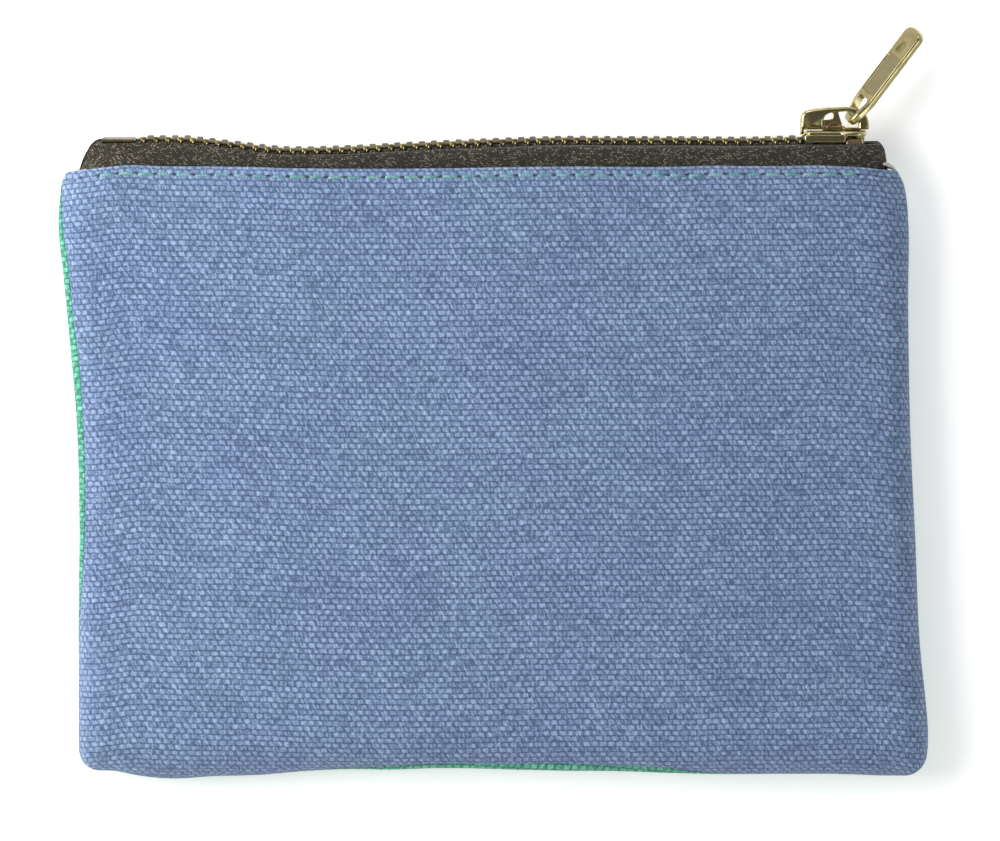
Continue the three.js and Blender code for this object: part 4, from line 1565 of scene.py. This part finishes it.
@dataclass
class ToothRow:
    """One row of teeth: a head that meshes with the other row and two legs closed on the cord."""

    side: Side
    chain: Chain
    half_wide: float = 0.55
    head_half: float = 0.43
    tip: float = -0.8
    neck: float = 0.95
    outer: float = 2.25
    half_tall: float = 1.2
    slot: float = 0.3
    bevel: float = 0.24
    ridge: float = 0.14
    pitch: float = 2.09

    def tooth(self) -> Shape:
        """Return one tooth with rounded edges, pointing towards the other row along -Z.

        Returns:
            The tooth's shape.
        """
        shape = bmesh.new()
        head_tall = self.half_tall * 0.86
        outline = [
            (self.tip, -head_tall * 0.72), (self.tip, head_tall * 0.72), (self.neck - 0.5, head_tall),
            (self.neck, self.half_tall), (self.outer - 0.15, self.half_tall),
            (self.outer, self.half_tall * 0.75), (self.outer, self.slot), (self.neck, self.slot * 0.8),
            (self.neck, -self.slot * 0.8), (self.outer, -self.slot), (self.outer, -self.half_tall * 0.75),
            (self.outer - 0.15, -self.half_tall), (self.neck, -self.half_tall), (self.neck - 0.5, -head_tall),
        ]
        sides = []
        for sign in (-1, 1):
            ring = []
            for z, y in outline:
                half = self.head_half if z < self.neck - 0.1 else self.half_wide
                if z >= self.outer - 0.01 and abs(y) < self.half_tall * 0.5:
                    half *= 0.8
                ring.append(shape.verts.new((sign * half, y, z)))
            sides.append(ring)
        count = len(outline)
        for k in range(count):
            after = (k + 1) % count
            shape.faces.new((sides[0][k], sides[0][after], sides[1][after], sides[1][k]))
        bodies = ((0, 1, 2, 13), (2, 3, 12, 13), (3, 4, 5, 6, 7), (7, 8, 12, 3), (8, 9, 10, 11, 12))
        for ring, order in ((sides[0], -1), (sides[1], 1)):
            for body in bodies:
                shape.faces.new([ring[k] for k in body][::order])
        bmesh.ops.recalc_face_normals(shape, faces=shape.faces)
        sharp = [edge for edge in shape.edges if edge.calc_face_angle(0) > 0.35]
        bmesh.ops.bevel(shape, geom=sharp, offset=self.bevel, segments=3, profile=0.5, affect="EDGES")
        return shape

    def ridges(self) -> Shape:
        """Return the ridges on the ends of one tooth's legs, which take the lighter plating as a painted
        highlight.

        Returns:
            The ridges' shape.
        """
        shape = bmesh.new()
        for up in (-1, 1):
            low, high = sorted((up * 0.1, up * (self.half_tall - 0.5)))
            size = (2 * self.ridge, high - low, 0.5)
            middle = Matrix.Translation((self.ridge, (low + high) / 2, self.outer - 0.02))
            place = middle @ Matrix.Diagonal((*size, 1))
            made = bmesh.ops.create_cube(shape, size=1.0, matrix=place)
            edges = list({edge for vert in made["verts"] for edge in vert.link_edges})
            bmesh.ops.bevel(shape, geom=edges, offset=0.09, segments=2, profile=0.5, affect="EDGES")
        return shape

    def dress(self, wardrobe: Wardrobe) -> list[Piece]:
        """Make the row's teeth and the ridges on them.

        Args:
            wardrobe: the finishes.

        Returns:
            The teeth and the ridges.
        """
        word = self.side.word
        # The back row takes the darker copy of the brass: painted shade.
        finish = "tooth brass" if self.side is Side.FRONT else "shaded tooth brass"
        teeth = self.repeat(self.tooth(), f"{word}_tooth_row", wardrobe.get(finish))
        wardrobe.hand_over(teeth, POUCH, finish, f"{word}_teeth")
        # The ridges take the lighter plating, not the tooth brass: a painted highlight along the legs' ends.
        ridges = self.repeat(self.ridges(), f"{word}_tooth_ridges", wardrobe.get("light gold plating"))
        wardrobe.hand_over(ridges, POUCH, "light gold plating")
        return [teeth, ridges]

    def repeat(self, one: Shape, name: str, material: Material) -> Piece:
        """Repeat a tooth's shape along the row, each a little turned in its own way.

        Args:
            one: the shape of one tooth, which is used up.
            name: the new object's name.
            material: what it is made of.

        Returns:
            One object of all the shapes.
        """
        low, high = millimetres(f"{self.side.word}_teeth")
        first, last = low[0] + self.half_wide, high[0] - self.half_wide
        count = round((last - first) / self.pitch) + 1
        one.verts.ensure_lookup_table()
        base = np.array([v.co[:] for v in one.verts])
        faces = [tuple(v.index for v in f.verts) for f in one.faces]
        one.free()
        random = np.random.default_rng(101 + self.side.value)
        flip = Matrix.Identity(4) if self.side is Side.FRONT else Matrix.Scale(-1, 4, (0, 0, 1))
        points, all_faces = [], []
        for k, x in enumerate(np.linspace(first, last, count)):
            turn = Matrix.Rotation(random.normal(0, 0.02), 4, "Y")
            turn = turn @ Matrix.Rotation(random.normal(0, 0.025), 4, "Z")
            slope = self.chain.dip_curve(np.array([x - 1, x + 1]))
            follow = Matrix.Rotation(math.atan2(slope[0] - slope[1], 2), 4, "Z")
            place = np.array(self.chain.place(x, True) @ follow @ turn @ flip)
            points.append(base @ place[:3, :3].T + place[:3, 3])
            for face in faces:
                moved = tuple(n + k * len(base) for n in face)
                all_faces.append(moved if self.side is Side.FRONT else moved[::-1])
        return mesh_piece(name, np.concatenate(points), all_faces, material)


class Forge:
    """Makes smooth cast and stamped metal pieces out of simple closed shapes."""

    @staticmethod
    def outline(
        points: Sequence[Pair], low: float, high: float, upright: bool, soften: float = 0.0
    ) -> Piece:
        """Stand a closed outline up as a solid.

        Args:
            points: the outline's points.
            low: where the solid starts across the outline.
            high: where it ends.
            upright: whether the outline lies in X and Y, and not in X and Z.
            soften: the radius of its rims.

        Returns:
            The solid, in millimetres.
        """
        shape = bmesh.new()
        rings = []
        for level in (low, high):
            rings.append([shape.verts.new((a, b, level) if upright else (a, level, b)) for a, b in points])
        shape.faces.new(rings[0])
        shape.faces.new(rings[1][::-1])
        for k in range(len(points)):
            after = (k + 1) % len(points)
            shape.faces.new((rings[0][k], rings[1][k], rings[1][after], rings[0][after]))
        bmesh.ops.recalc_face_normals(shape, faces=shape.faces)
        if soften:
            ends = [face for face in shape.faces if len(face.verts) > 4]
            rims = list({edge for face in ends for edge in face.edges})
            bmesh.ops.bevel(shape, geom=rims, offset=soften, segments=4, profile=0.5, affect="EDGES")
        bmesh.ops.triangulate(shape, faces=shape.faces)
        mesh = bpy.data.meshes.new("blank")
        shape.to_mesh(mesh)
        shape.free()
        piece = bpy.data.objects.new("blank", mesh)
        bpy.context.scene.collection.objects.link(piece)
        return piece

    @staticmethod
    def block(low: Sequence[float], high: Sequence[float]) -> Piece:
        """Return a solid between two corners."""
        (x0, y0, z0), (x1, y1, z1) = low, high
        return Forge.outline(((x0, y0), (x1, y0), (x1, y1), (x0, y1)), z0, z1, True)

    @staticmethod
    def settle(piece: Piece) -> None:
        """Apply a piece's modifiers to its mesh.

        Args:
            piece: the piece, which is changed.
        """
        graph = bpy.context.evaluated_depsgraph_get()
        mesh = bpy.data.meshes.new_from_object(piece.evaluated_get(graph))
        piece.modifiers.clear()
        old, piece.data = piece.data, mesh
        bpy.data.meshes.remove(old)

    @classmethod
    def cast(
        cls,
        name: str,
        solids: Sequence[Piece],
        cuts: Sequence[Piece],
        place: Matrix,
        material: Material,
        grain: float = 0.075,
        smoothing: int = 5,
    ) -> Piece:
        """Melt closed solids into one, cut it, and round its edges.

        Args:
            name: the piece's name.
            solids: overlapping closed solids, in millimetres.
            cuts: closed solids that are taken away.
            place: the matrix from the solids' frame to the row frame, in millimetres.
            material: what it is made of.
            grain: the size of the mesh's faces.
            smoothing: how many times its surface is relaxed.

        Returns:
            The piece, in metres in the row frame.
        """
        body = cls.join(name, solids)
        melt = body.modifiers.new("melt", "REMESH")
        melt.mode, melt.voxel_size = "VOXEL", grain
        cls.settle(body)
        if cuts:
            tool = cls.join("tool", cuts)
            cut = body.modifiers.new("cut", "BOOLEAN")
            cut.operation, cut.object, cut.solver = "DIFFERENCE", tool, "FAST"
            again = body.modifiers.new("again", "REMESH")
            again.mode, again.voxel_size = "VOXEL", grain
            cls.settle(body)
            bpy.data.objects.remove(tool)
        relax = body.modifiers.new("relax", "SMOOTH")
        relax.factor, relax.iterations = 0.5, smoothing
        cls.settle(body)
        body.data.transform(Matrix.Scale(MM, 4) @ place)
        body.data.materials.clear()
        body.data.materials.append(material)
        body.data.polygons.foreach_set("use_smooth", [True] * len(body.data.polygons))
        return body

    @staticmethod
    def swell(
        piece: Piece, place: Matrix, middle: Pair, reach: Pair, height: float
    ) -> None:
        """Dome both faces of a piece outwards round a point.

        Args:
            piece: the piece, in metres in the row frame.
            place: the matrix from the piece's own frame to the row frame, in millimetres.
            middle: the dome's middle in X and Y of the own frame.
            reach: how far it goes to either side of the middle.
            height: how high it stands.
        """
        back = (Matrix.Scale(MM, 4) @ place).inverted()
        there = back.inverted()
        for vertex in piece.data.vertices:
            co = back @ vertex.co
            away = math.hypot((co.x - middle[0]) / reach[0], (co.y - middle[1]) / reach[1])
            if away < 1:
                dome = height * math.cos(away * math.pi / 2) ** 2
                co.z += math.copysign(dome * min(abs(co.z), 1), co.z)
                vertex.co = there @ co

    @staticmethod
    def join(name: str, pieces: Sequence[Piece]) -> Piece:
        """Join objects into one of the given name.

        Args:
            name: the new object's name.
            pieces: the objects, which are used up.

        Returns:
            The new object.
        """
        shape = bmesh.new()
        for piece in pieces:
            shape.from_mesh(piece.data)
            mesh = piece.data
            bpy.data.objects.remove(piece)
            bpy.data.meshes.remove(mesh)
        mesh = bpy.data.meshes.new(name)
        shape.to_mesh(mesh)
        shape.free()
        made = bpy.data.objects.new(name, mesh)
        bpy.context.scene.collection.objects.link(made)
        return made


def rounded(x0: float, x1: float, y0: float, y1: float, radius: float, steps: int = 5) -> list[Pair]:
    """List the points of a rectangle with round corners.

    Args:
        x0: its left side.
        x1: its right side.
        y0: its lower side.
        y1: its upper side.
        radius: the corners' radius.
        steps: how many parts a corner has.

    Returns:
        Points in order round the outline.
    """
    points = []
    for cx, cy, start in ((x1, y0, -90), (x1, y1, 0), (x0, y1, 90), (x0, y0, 180)):
        mx = cx + (radius if cx == x0 else -radius)
        my = cy + (radius if cy == y0 else -radius)
        for k in range(steps + 1):
            angle = math.radians(start + 90 * k / steps)
            points.append((mx + radius * math.cos(angle), my + radius * math.sin(angle)))
    return points


def bezier(points: Sequence[Pair], steps: int = 7) -> list[Pair]:
    """List points of a quadratic curve from the first point to the third, without the first.

    Args:
        points: the start, the point that it bends towards, and the end.
        steps: how many points are listed.

    Returns:
        The points.
    """
    (ax, ay), (bx, by), (cx, cy) = points
    out = []
    for k in range(1, steps + 1):
        t = k / steps
        start, pull, end = (1 - t) ** 2, 2 * t * (1 - t), t * t
        out.append((start * ax + pull * bx + end * cx, start * ay + pull * by + end * cy))
    return out


@dataclass
class Stops:
    """The clamp at the chain's left end and the two clips at its right end."""

    chain: Chain
    clip_inner: float = 1.08
    clip_outer: float = 2.28

    def dress(self, wardrobe: Wardrobe) -> None:
        """Make the three stops.

        Args:
            wardrobe: the finishes.
        """
        left, right = millimetres("bottom_stop")[0][0], millimetres("bottom_stop")[1][0]
        solids = [Forge.outline(rounded(left - 0.9, right - 0.1, -0.85, 0.85, 0.3), -2.25, 2.25, True, 0.35)]
        cuts = [
            Forge.block((left - 1.5, -0.3, 1.6), (right + 1, 0.3, 3.0)),
            Forge.block((left - 1.5, -0.3, -3.0), (right + 1, 0.3, -1.6)),
        ]
        for x in (right - 1.35, right - 0.75):
            cuts.append(Forge.block((x, 0.3, -3.0), (x + 0.22, 2.0, 3.0)))
            cuts.append(Forge.block((x, -2.0, -3.0), (x + 0.22, -0.3, 3.0)))
        # The clamp takes the darker copy of the brass: painted shade.
        place, brass = self.chain.place(), wardrobe.get("shaded tooth brass")
        clamp = Forge.cast("chain_clamp", solids, cuts, place, brass, 0.085, 4)
        wardrobe.hand_over(clamp, POUCH, "shaded tooth brass", "bottom_stop")
        for side in Side:
            low, high = millimetres(f"{side.word}_top_stop")
            near, far = sorted((side.value * self.clip_inner, side.value * self.clip_outer))
            solid = Forge.outline(rounded(low[0], high[0], -0.98, 0.98, 0.55), near, far, True, 0.25)
            slot_low, slot_high = sorted((side.value * 1.7, side.value * 3.0))
            slot = Forge.block((low[0] - 1, -0.28, slot_low), (high[0] + 1, 0.28, slot_high))
            gold = wardrobe.get("pink gold")
            clip = Forge.cast(f"{side.word}_end_clip", [solid], [slot], place, gold, 0.08, 4)
            wardrobe.hand_over(clip, POUCH, "pink gold", f"{side.word}_top_stop")


@dataclass
class SliderCasting:
    """The slider: two wings on a post, side flanges, and the arched cap with its window."""

    chain: Chain
    low: float = 1.42
    thick: float = 0.8
    rear_half: float = 3.3
    mouth_half: float = 3.75
    length: float = 10.6
    flange_low: float = 0.32
    depth: float = 0.95

    def __post_init__(self) -> None:
        """Find the slider's rear end, which its own lengths are measured from."""
        self.rear = millimetres("slider_body")[0][0] - 0.3
        self.place = self.chain.place(self.rear)

    def wing(self) -> list[Pair]:
        """Return a wing's outline in X and Z: narrow behind and wide at the mouth.

        Returns:
            The outline's points.
        """
        rear, wide, end = self.rear_half, self.mouth_half, self.length
        half = [(0.3, rear - 0.9)]
        half += bezier((half[-1], (0.3, rear), (1.2, rear))) + [(6.1, rear)]
        half += bezier((half[-1], (7.3, wide), (8.3, wide)))
        half += bezier((half[-1], (end, wide), (end, 1.5)), 10)
        return half + [(x, -z) for x, z in reversed(half)]

    def body(self, wardrobe: Wardrobe) -> Piece:
        """Make the wings, flanges and post as one casting.

        Args:
            wardrobe: the finishes.

        Returns:
            The piece.
        """
        top = self.low + self.thick
        post = [(7.4, 0.0), (8.9, 0.7), (10.3, 0.35), (10.3, -0.35), (8.9, -0.7)]
        solids = [
            Forge.outline(self.wing(), self.low, top, False, 0.36),
            Forge.outline(self.wing(), -top, -self.low, False, 0.36),
            Forge.outline(post, -top + 0.2, top - 0.2, False),
        ]
        for up in (1, -1):
            for side in (1, -1):
                near, far = sorted((side * (self.rear_half - 0.65), side * (self.rear_half + 0.12)))
                low, high = sorted((up * self.flange_low, up * (top - 0.5)))
                solids.append(Forge.outline(rounded(0.0, 7.0, low, high, 0.55), near, far, True, 0.28))
        plating = wardrobe.get("light gold plating")
        piece = Forge.cast("slider_casting", solids, [], self.place, plating, 0.085, 4)
        return wardrobe.hand_over(piece, SLIDER, "light gold plating", "slider_body")

    def cap(self, wardrobe: Wardrobe) -> Piece:
        """Make the arched cap, whose broad rear leg reaches into the wing.

        Args:
            wardrobe: the finishes.

        Returns:
            The piece.
        """
        foot = self.low + self.thick + 0.12
        root = self.low + 0.1
        outer = [(0.02, root), (-0.56, root), (-0.56, 4.1)]
        outer += bezier((outer[-1], (-0.5, 5.55), (1.2, 5.75)))
        outer += bezier((outer[-1], (4.0, 6.15), (7.0, 6.2)))
        outer += bezier((outer[-1], (9.6, 6.2), (10.5, 4.9)))
        outer += bezier((outer[-1], (11.1, 4.0), (11.05, 2.9)))
        outer += [(11.0, foot), (9.3, foot), (9.2, 3.2)]
        outer += bezier((outer[-1], (9.3, 5.35), (7.6, 5.4)))
        outer += bezier((outer[-1], (5.6, 5.35), (4.5, 5.1)))
        outer += bezier((outer[-1], (3.45, 4.8), (3.4, 3.9)))
        outer += [(3.4, foot), (0.02, foot)]
        web = [(3.2, foot - 0.1), (6.5, foot - 0.1), (6.45, 3.4), (6.1, 4.4), (5.8, 5.5), (4.95, 5.5)]
        web += [(4.85, 4.35), (4.6, 4.05), (3.2, 3.95)]
        solids = [
            Forge.outline(outer, -self.depth, self.depth, True, 0.5),
            Forge.outline(web, -0.4, 0.4, True, 0.15),
            Forge.outline(rounded(3.2, 7.0, foot - 0.1, 2.95, 0.25), -0.7, 0.7, True, 0.2),
            Forge.outline(rounded(6.8, 9.7, foot - 0.1, 2.7, 0.25), -0.9, 0.9, True, 0.2),
        ]
        plating = wardrobe.get("light gold plating")
        piece = Forge.cast("slider_arch", solids, [], self.place, plating, 0.07, 7)
        Forge.swell(piece, self.place, (1.4, 3.9), (2.1, 1.9), 0.3)
        return wardrobe.hand_over(piece, SLIDER, "light gold plating", "slider_cap")

    def leaf(self, wardrobe: Wardrobe) -> Piece:
        """Make the bowed locking leaf that lies over the saddle.

        Args:
            wardrobe: the finishes.

        Returns:
            The piece.
        """
        share = np.linspace(0, 1, 15)
        x, y = 4.1 + 2.6 * share, 2.8 + 0.95 * np.maximum(np.sin(share * math.pi), 0.0) ** 0.8 - 0.4 * share
        upper = list(zip(x.tolist(), (y + 0.16).tolist()))
        lower = list(zip(x.tolist(), (y - 0.16).tolist()))
        solids = [Forge.outline(upper + lower[::-1], -0.8, 0.8, True)]
        solids.append(Forge.outline(rounded(3.9, 4.5, 2.3, 3.1, 0.3), -0.8, 0.8, True))
        piece = Forge.cast("locking_leaf", solids, [], self.place, wardrobe.get("spring brass"), 0.07, 4)
        return wardrobe.hand_over(piece, SLIDER, "spring brass", "lock_spring")


@dataclass
class PullTab:
    """The flat pull: an eye round the cap, a sunk satin panel on each face and a slot near the tip."""

    chain: Chain
    half_wide: float = 2.48
    half_thick: float = 0.72
    root_twist: float = 14.0
    twist: float = 30.0
    twist_from_to: Pair = (0.3, 4.6)
    bearing: float = 53.2
    slack: Pair = (0.0, 0.22)
    tip: float = 18.9
    root: float = -0.58

    def __post_init__(self) -> None:
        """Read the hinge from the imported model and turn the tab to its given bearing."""
        hinge = next(j for j in frame["joints"] if j["name"] == "pull_swing")
        pivot = Vector(hinge["pos_m"]) / MM
        self.angle = math.radians(self.bearing)
        self.place = (
            Matrix.Translation(pivot)
            @ self.chain.turn
            @ Matrix.Rotation(self.angle, 4, "Z")
            @ Matrix.Translation((*self.slack, 0))
        )

    def wring(self, piece: Piece) -> Piece:
        """Twist a piece about the tab's length, less at the eye than beyond it.

        Args:
            piece: the piece, which is changed.

        Returns:
            The same piece.
        """
        there = Matrix.Scale(MM, 4) @ self.place
        back = there.inverted()
        for vertex in piece.data.vertices:
            co = back @ vertex.co
            share = float(smooth_step(*self.twist_from_to, co.x))
            twist = self.root_twist + (self.twist - self.root_twist) * share
            vertex.co = there @ (Matrix.Rotation(math.radians(twist), 4, "X") @ co)
        return piece

    def darken_faces(self, tab: Piece, wardrobe: Wardrobe) -> None:
        """Give the bar's two flat faces a darker copy of the plating: painted shade standing in for a dim
        reflection.

        Args:
            tab: the bar.
            wardrobe: the finishes.
        """
        tab.data.materials.append(wardrobe.get("shaded gold face"))
        across = self.place.to_3x3() @ Vector((0.0, 1.0, 0.0))
        for polygon in tab.data.polygons:
            polygon.material_index = int(abs(polygon.normal.dot(across)) > 0.86)

    def outline(self) -> list[Pair]:
        """Return the bar's outline in X and Z.

        Returns:
            The outline's points.
        """
        w, tip, root = self.half_wide, self.tip, self.root
        half = [(root, 0.0), (root, 0.8)]
        half += bezier((half[-1], (root + 0.2, w), (root + 2.6, w)))
        half += [(tip - 1.7, w)]
        half += bezier((half[-1], (tip, w), (tip, 0.0)), 12)
        return half + [(x, -z) for x, z in reversed(half[1:-1])]

    def dress(self, wardrobe: Wardrobe) -> None:
        """Make the tab and the satin panels sunk in its faces.

        Args:
            wardrobe: the finishes.
        """
        t = self.half_thick
        solids = [Forge.outline(self.outline(), -t, t, False, 0.45)]
        cuts = [
            Forge.outline(rounded(0.65, 4.5, -1.6, 1.6, 0.7), -2, 2, False),
            Forge.outline(rounded(13.8, 15.9, -0.9, 0.9, 0.5), -2, 2, False),
        ]
        for sign in (-1, 1):
            low, high = sorted((sign * (t - 0.32), sign * 2))
            cuts.append(Forge.outline(rounded(5.4, 13.1, -2.05, 2.05, 0.5), low, high, False))
        tab = Forge.cast("pull_bar", solids, cuts, self.place, wardrobe.get("light gold plating"), 0.075, 6)
        self.darken_faces(tab, wardrobe)
        wardrobe.hand_over(self.wring(tab), PULL, "light gold plating", "pull_tab")
        for sign, word in ((-1, "lower"), (1, "upper")):
            low, high = sorted((sign * 0.2, sign * (t - 0.27)))
            panel = Forge.outline(rounded(5.5, 13.0, -1.95, 1.95, 0.4), low, high, False)
            # Darker colour of the satin panels: painted shade; their satin roughness is real.
            satin = wardrobe.get("satin shaded gold panel")
            inlay = Forge.cast(f"pull_{word}_panel", [panel], [], self.place, satin, 0.09, 3)
            wardrobe.hand_over(self.wring(inlay), PULL, "satin shaded gold panel")


@dataclass
class Topstitch:
    """A row of separate lockstitches just below the fold."""

    side: Side
    envelope: Envelope
    last: float = 63.3
    length: float = 2.9
    radius: float = 0.31
    sides: int = 8

    def dress(self, wardrobe: Wardrobe) -> Piece:
        """Make the whole row as one object of separate stitches.

        Args:
            wardrobe: the finishes.

        Returns:
            The piece.
        """
        random = np.random.default_rng(211 + self.side.value)
        share = np.linspace(0, 1, 9)
        arch = np.maximum(np.sin(share * math.pi), 0.0) ** 0.4
        points, faces, flat = [], [], []
        x = STITCH_START + (STITCH_PITCH - self.length) / 2
        count = 0
        while x + self.length < self.last + 0.6:
            xs = x + self.length * share
            ys = self.envelope.fold(xs) - STITCH_BELOW_FOLD + random.normal(0, 0.05)
            ys = ys + (share - 0.5) * random.normal(0, 0.12)
            lift = random.uniform(-0.06, 0.08)
            zs = self.envelope.height(self.side, xs, ys) + self.side.value * (arch * (0.42 + lift) - 0.4)
            radii = self.radius * (0.55 + 0.45 * arch) * random.uniform(0.9, 1.1)
            ring, some = tube(np.stack([xs, ys, zs], axis=-1), radii, self.sides, count)
            turn = np.tile(np.arange(self.sides) / self.sides, len(share))
            flat.append(np.stack([np.repeat(xs, self.sides), turn], axis=-1))
            points.append(ring)
            faces += some
            count += len(ring)
            x += STITCH_PITCH
        word = self.side.word
        piece = mesh_piece(f"{word}_stitches", np.concatenate(points), faces, wardrobe.get("teal thread"))
        lay_flat(piece, np.concatenate(flat))
        return wardrobe.hand_over(piece, POUCH, "teal thread", f"{word}_topstitch")


class CarriedNodes:
    """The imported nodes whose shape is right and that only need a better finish."""

    FINISH = {
        "perimeter_seam_thread": "white thread",
        "lining_seam_thread": "white thread",
    }

    def dress(self, wardrobe: Wardrobe) -> None:
        """Give each node its material.

        Args:
            wardrobe: the finishes.
        """
        for node, finish in self.FINISH.items():
            materials = frame["nodes"][node].data.materials
            materials.clear()
            materials.append(wardrobe.get(finish))
            log.info("%s keeps its packed shape, in %s", node, finish)


@dataclass
class Studio:
    """A pale floor, soft lights and a camera straight above the pouch."""

    view_width: float = 168.4
    view_middle: Pair = (1.0, 8.0)
    view_level: float = 10.0
    lens: float = 220.0
    sensor: float = 36.0
    floor_reach: float = 1500.0
    floor_gap: float = 0.05

    def floor(self, wardrobe: Wardrobe) -> None:
        """Lay the floor just below the resting surface.

        Args:
            wardrobe: the finishes.
        """
        far, low = self.floor_reach, -self.floor_gap
        corners = [(-far, -far, low), (far, -far, low), (far, far, low), (-far, far, low)]
        mesh_piece("floor", np.array(corners), [(0, 1, 2, 3)], wardrobe.get("pale floor"))

    def light(self, name: str, place: Sequence[float], size: float, power: float, tint: Colour) -> None:
        """Hang one square soft light that faces the pouch.

        Args:
            name: the light's name.
            place: where it hangs, in metres.
            size: the length of its side, in metres.
            power: its power, in watts.
            tint: its colour.
        """
        data = bpy.data.lights.new(name, "AREA")
        data.size, data.energy, data.color = size, power, tint
        lamp = bpy.data.objects.new(name, data)
        lamp.location = place
        lamp.rotation_euler = (-Vector(place)).to_track_quat("-Z", "Y").to_euler()
        lamp.visible_camera = False
        bpy.context.scene.collection.objects.link(lamp)

    def world(self) -> None:
        """Surround the pouch with a soft grey that is brighter overhead."""
        world = bpy.data.worlds.new("studio")
        world.use_nodes = True
        g = Graph(world.node_tree)
        up = g.add("SeparateXYZ", {0: g.add("TexCoord").outputs["Generated"]}).outputs[2]
        colour = g.blend(g.span(up, 0.0, 0.35), (0.5, 0.5, 0.5), (0.98, 0.99, 1.0))
        colour = g.blend(g.span(up, 0.68, 0.9), colour, (0.2, 0.2, 0.205))
        back = g.add("Background", {"Color": colour, "Strength": 0.62})
        g.add("OutputWorld", {"Surface": back.outputs[0]})
        bpy.context.scene.world = world

    def camera(self) -> None:
        """Hang the camera over the pouch, looking straight down."""
        data = bpy.data.cameras.new("camera")
        data.lens, data.sensor_width = self.lens, self.sensor
        eye = bpy.data.objects.new("camera", data)
        away = self.view_width * self.lens / self.sensor
        x, y = self.view_middle
        eye.location = (x * MM, y * MM, (self.view_level + away) * MM)
        bpy.context.scene.collection.objects.link(eye)
        bpy.context.scene.camera = eye

    def build(self, wardrobe: Wardrobe) -> None:
        """Make the whole studio.

        Args:
            wardrobe: the finishes.
        """
        self.camera()
        self.world()
        self.floor(wardrobe)
        self.light("key", (-0.26, 0.07, 0.24), 0.3, 1.6, (1.0, 0.99, 0.97))
        self.light("fill", (0.55, -0.4, 0.55), 0.4, 0.9, (0.96, 0.98, 1.0))
        self.light("top", (-0.2, 0.9, 0.6), 0.4, 1.5, (1.0, 1.0, 1.0))
        settings = bpy.context.scene.view_settings
        settings.view_transform = "Standard"
        settings.look = "None"


def main() -> None:
    """Build every piece in order."""
    logging.basicConfig(level=logging.INFO, format="%(message)s")
    wardrobe = Wardrobe()
    Studio().build(wardrobe)
    envelope, chain = Envelope(), Chain()
    lining = LiningBag(envelope)
    folds = [
        lining.end_fold("left_lining_end", -1, -68.6, 50.4, 3.6, wardrobe),
        lining.end_fold("right_lining_end", 1, 65.6, 51.4, 2.6, wardrobe),
    ]
    for side in Side:
        stitches = Topstitch(side, envelope).dress(wardrobe)
        CanvasPanel(side, envelope).dress(wardrobe, stitches)
        lining.panel(side, wardrobe, folds if side is Side.FRONT else [])
        teeth = ToothRow(side, chain).dress(wardrobe)
        ZipperTape(side, chain, envelope).dress(wardrobe, teeth)
    Stops(chain).dress(wardrobe)
    slider = SliderCasting(chain)
    slider.body(wardrobe)
    slider.cap(wardrobe)
    slider.leaf(wardrobe)
    PullTab(chain).dress(wardrobe)
    CarriedNodes().dress(wardrobe)


if __name__ == "__main__":
    main()
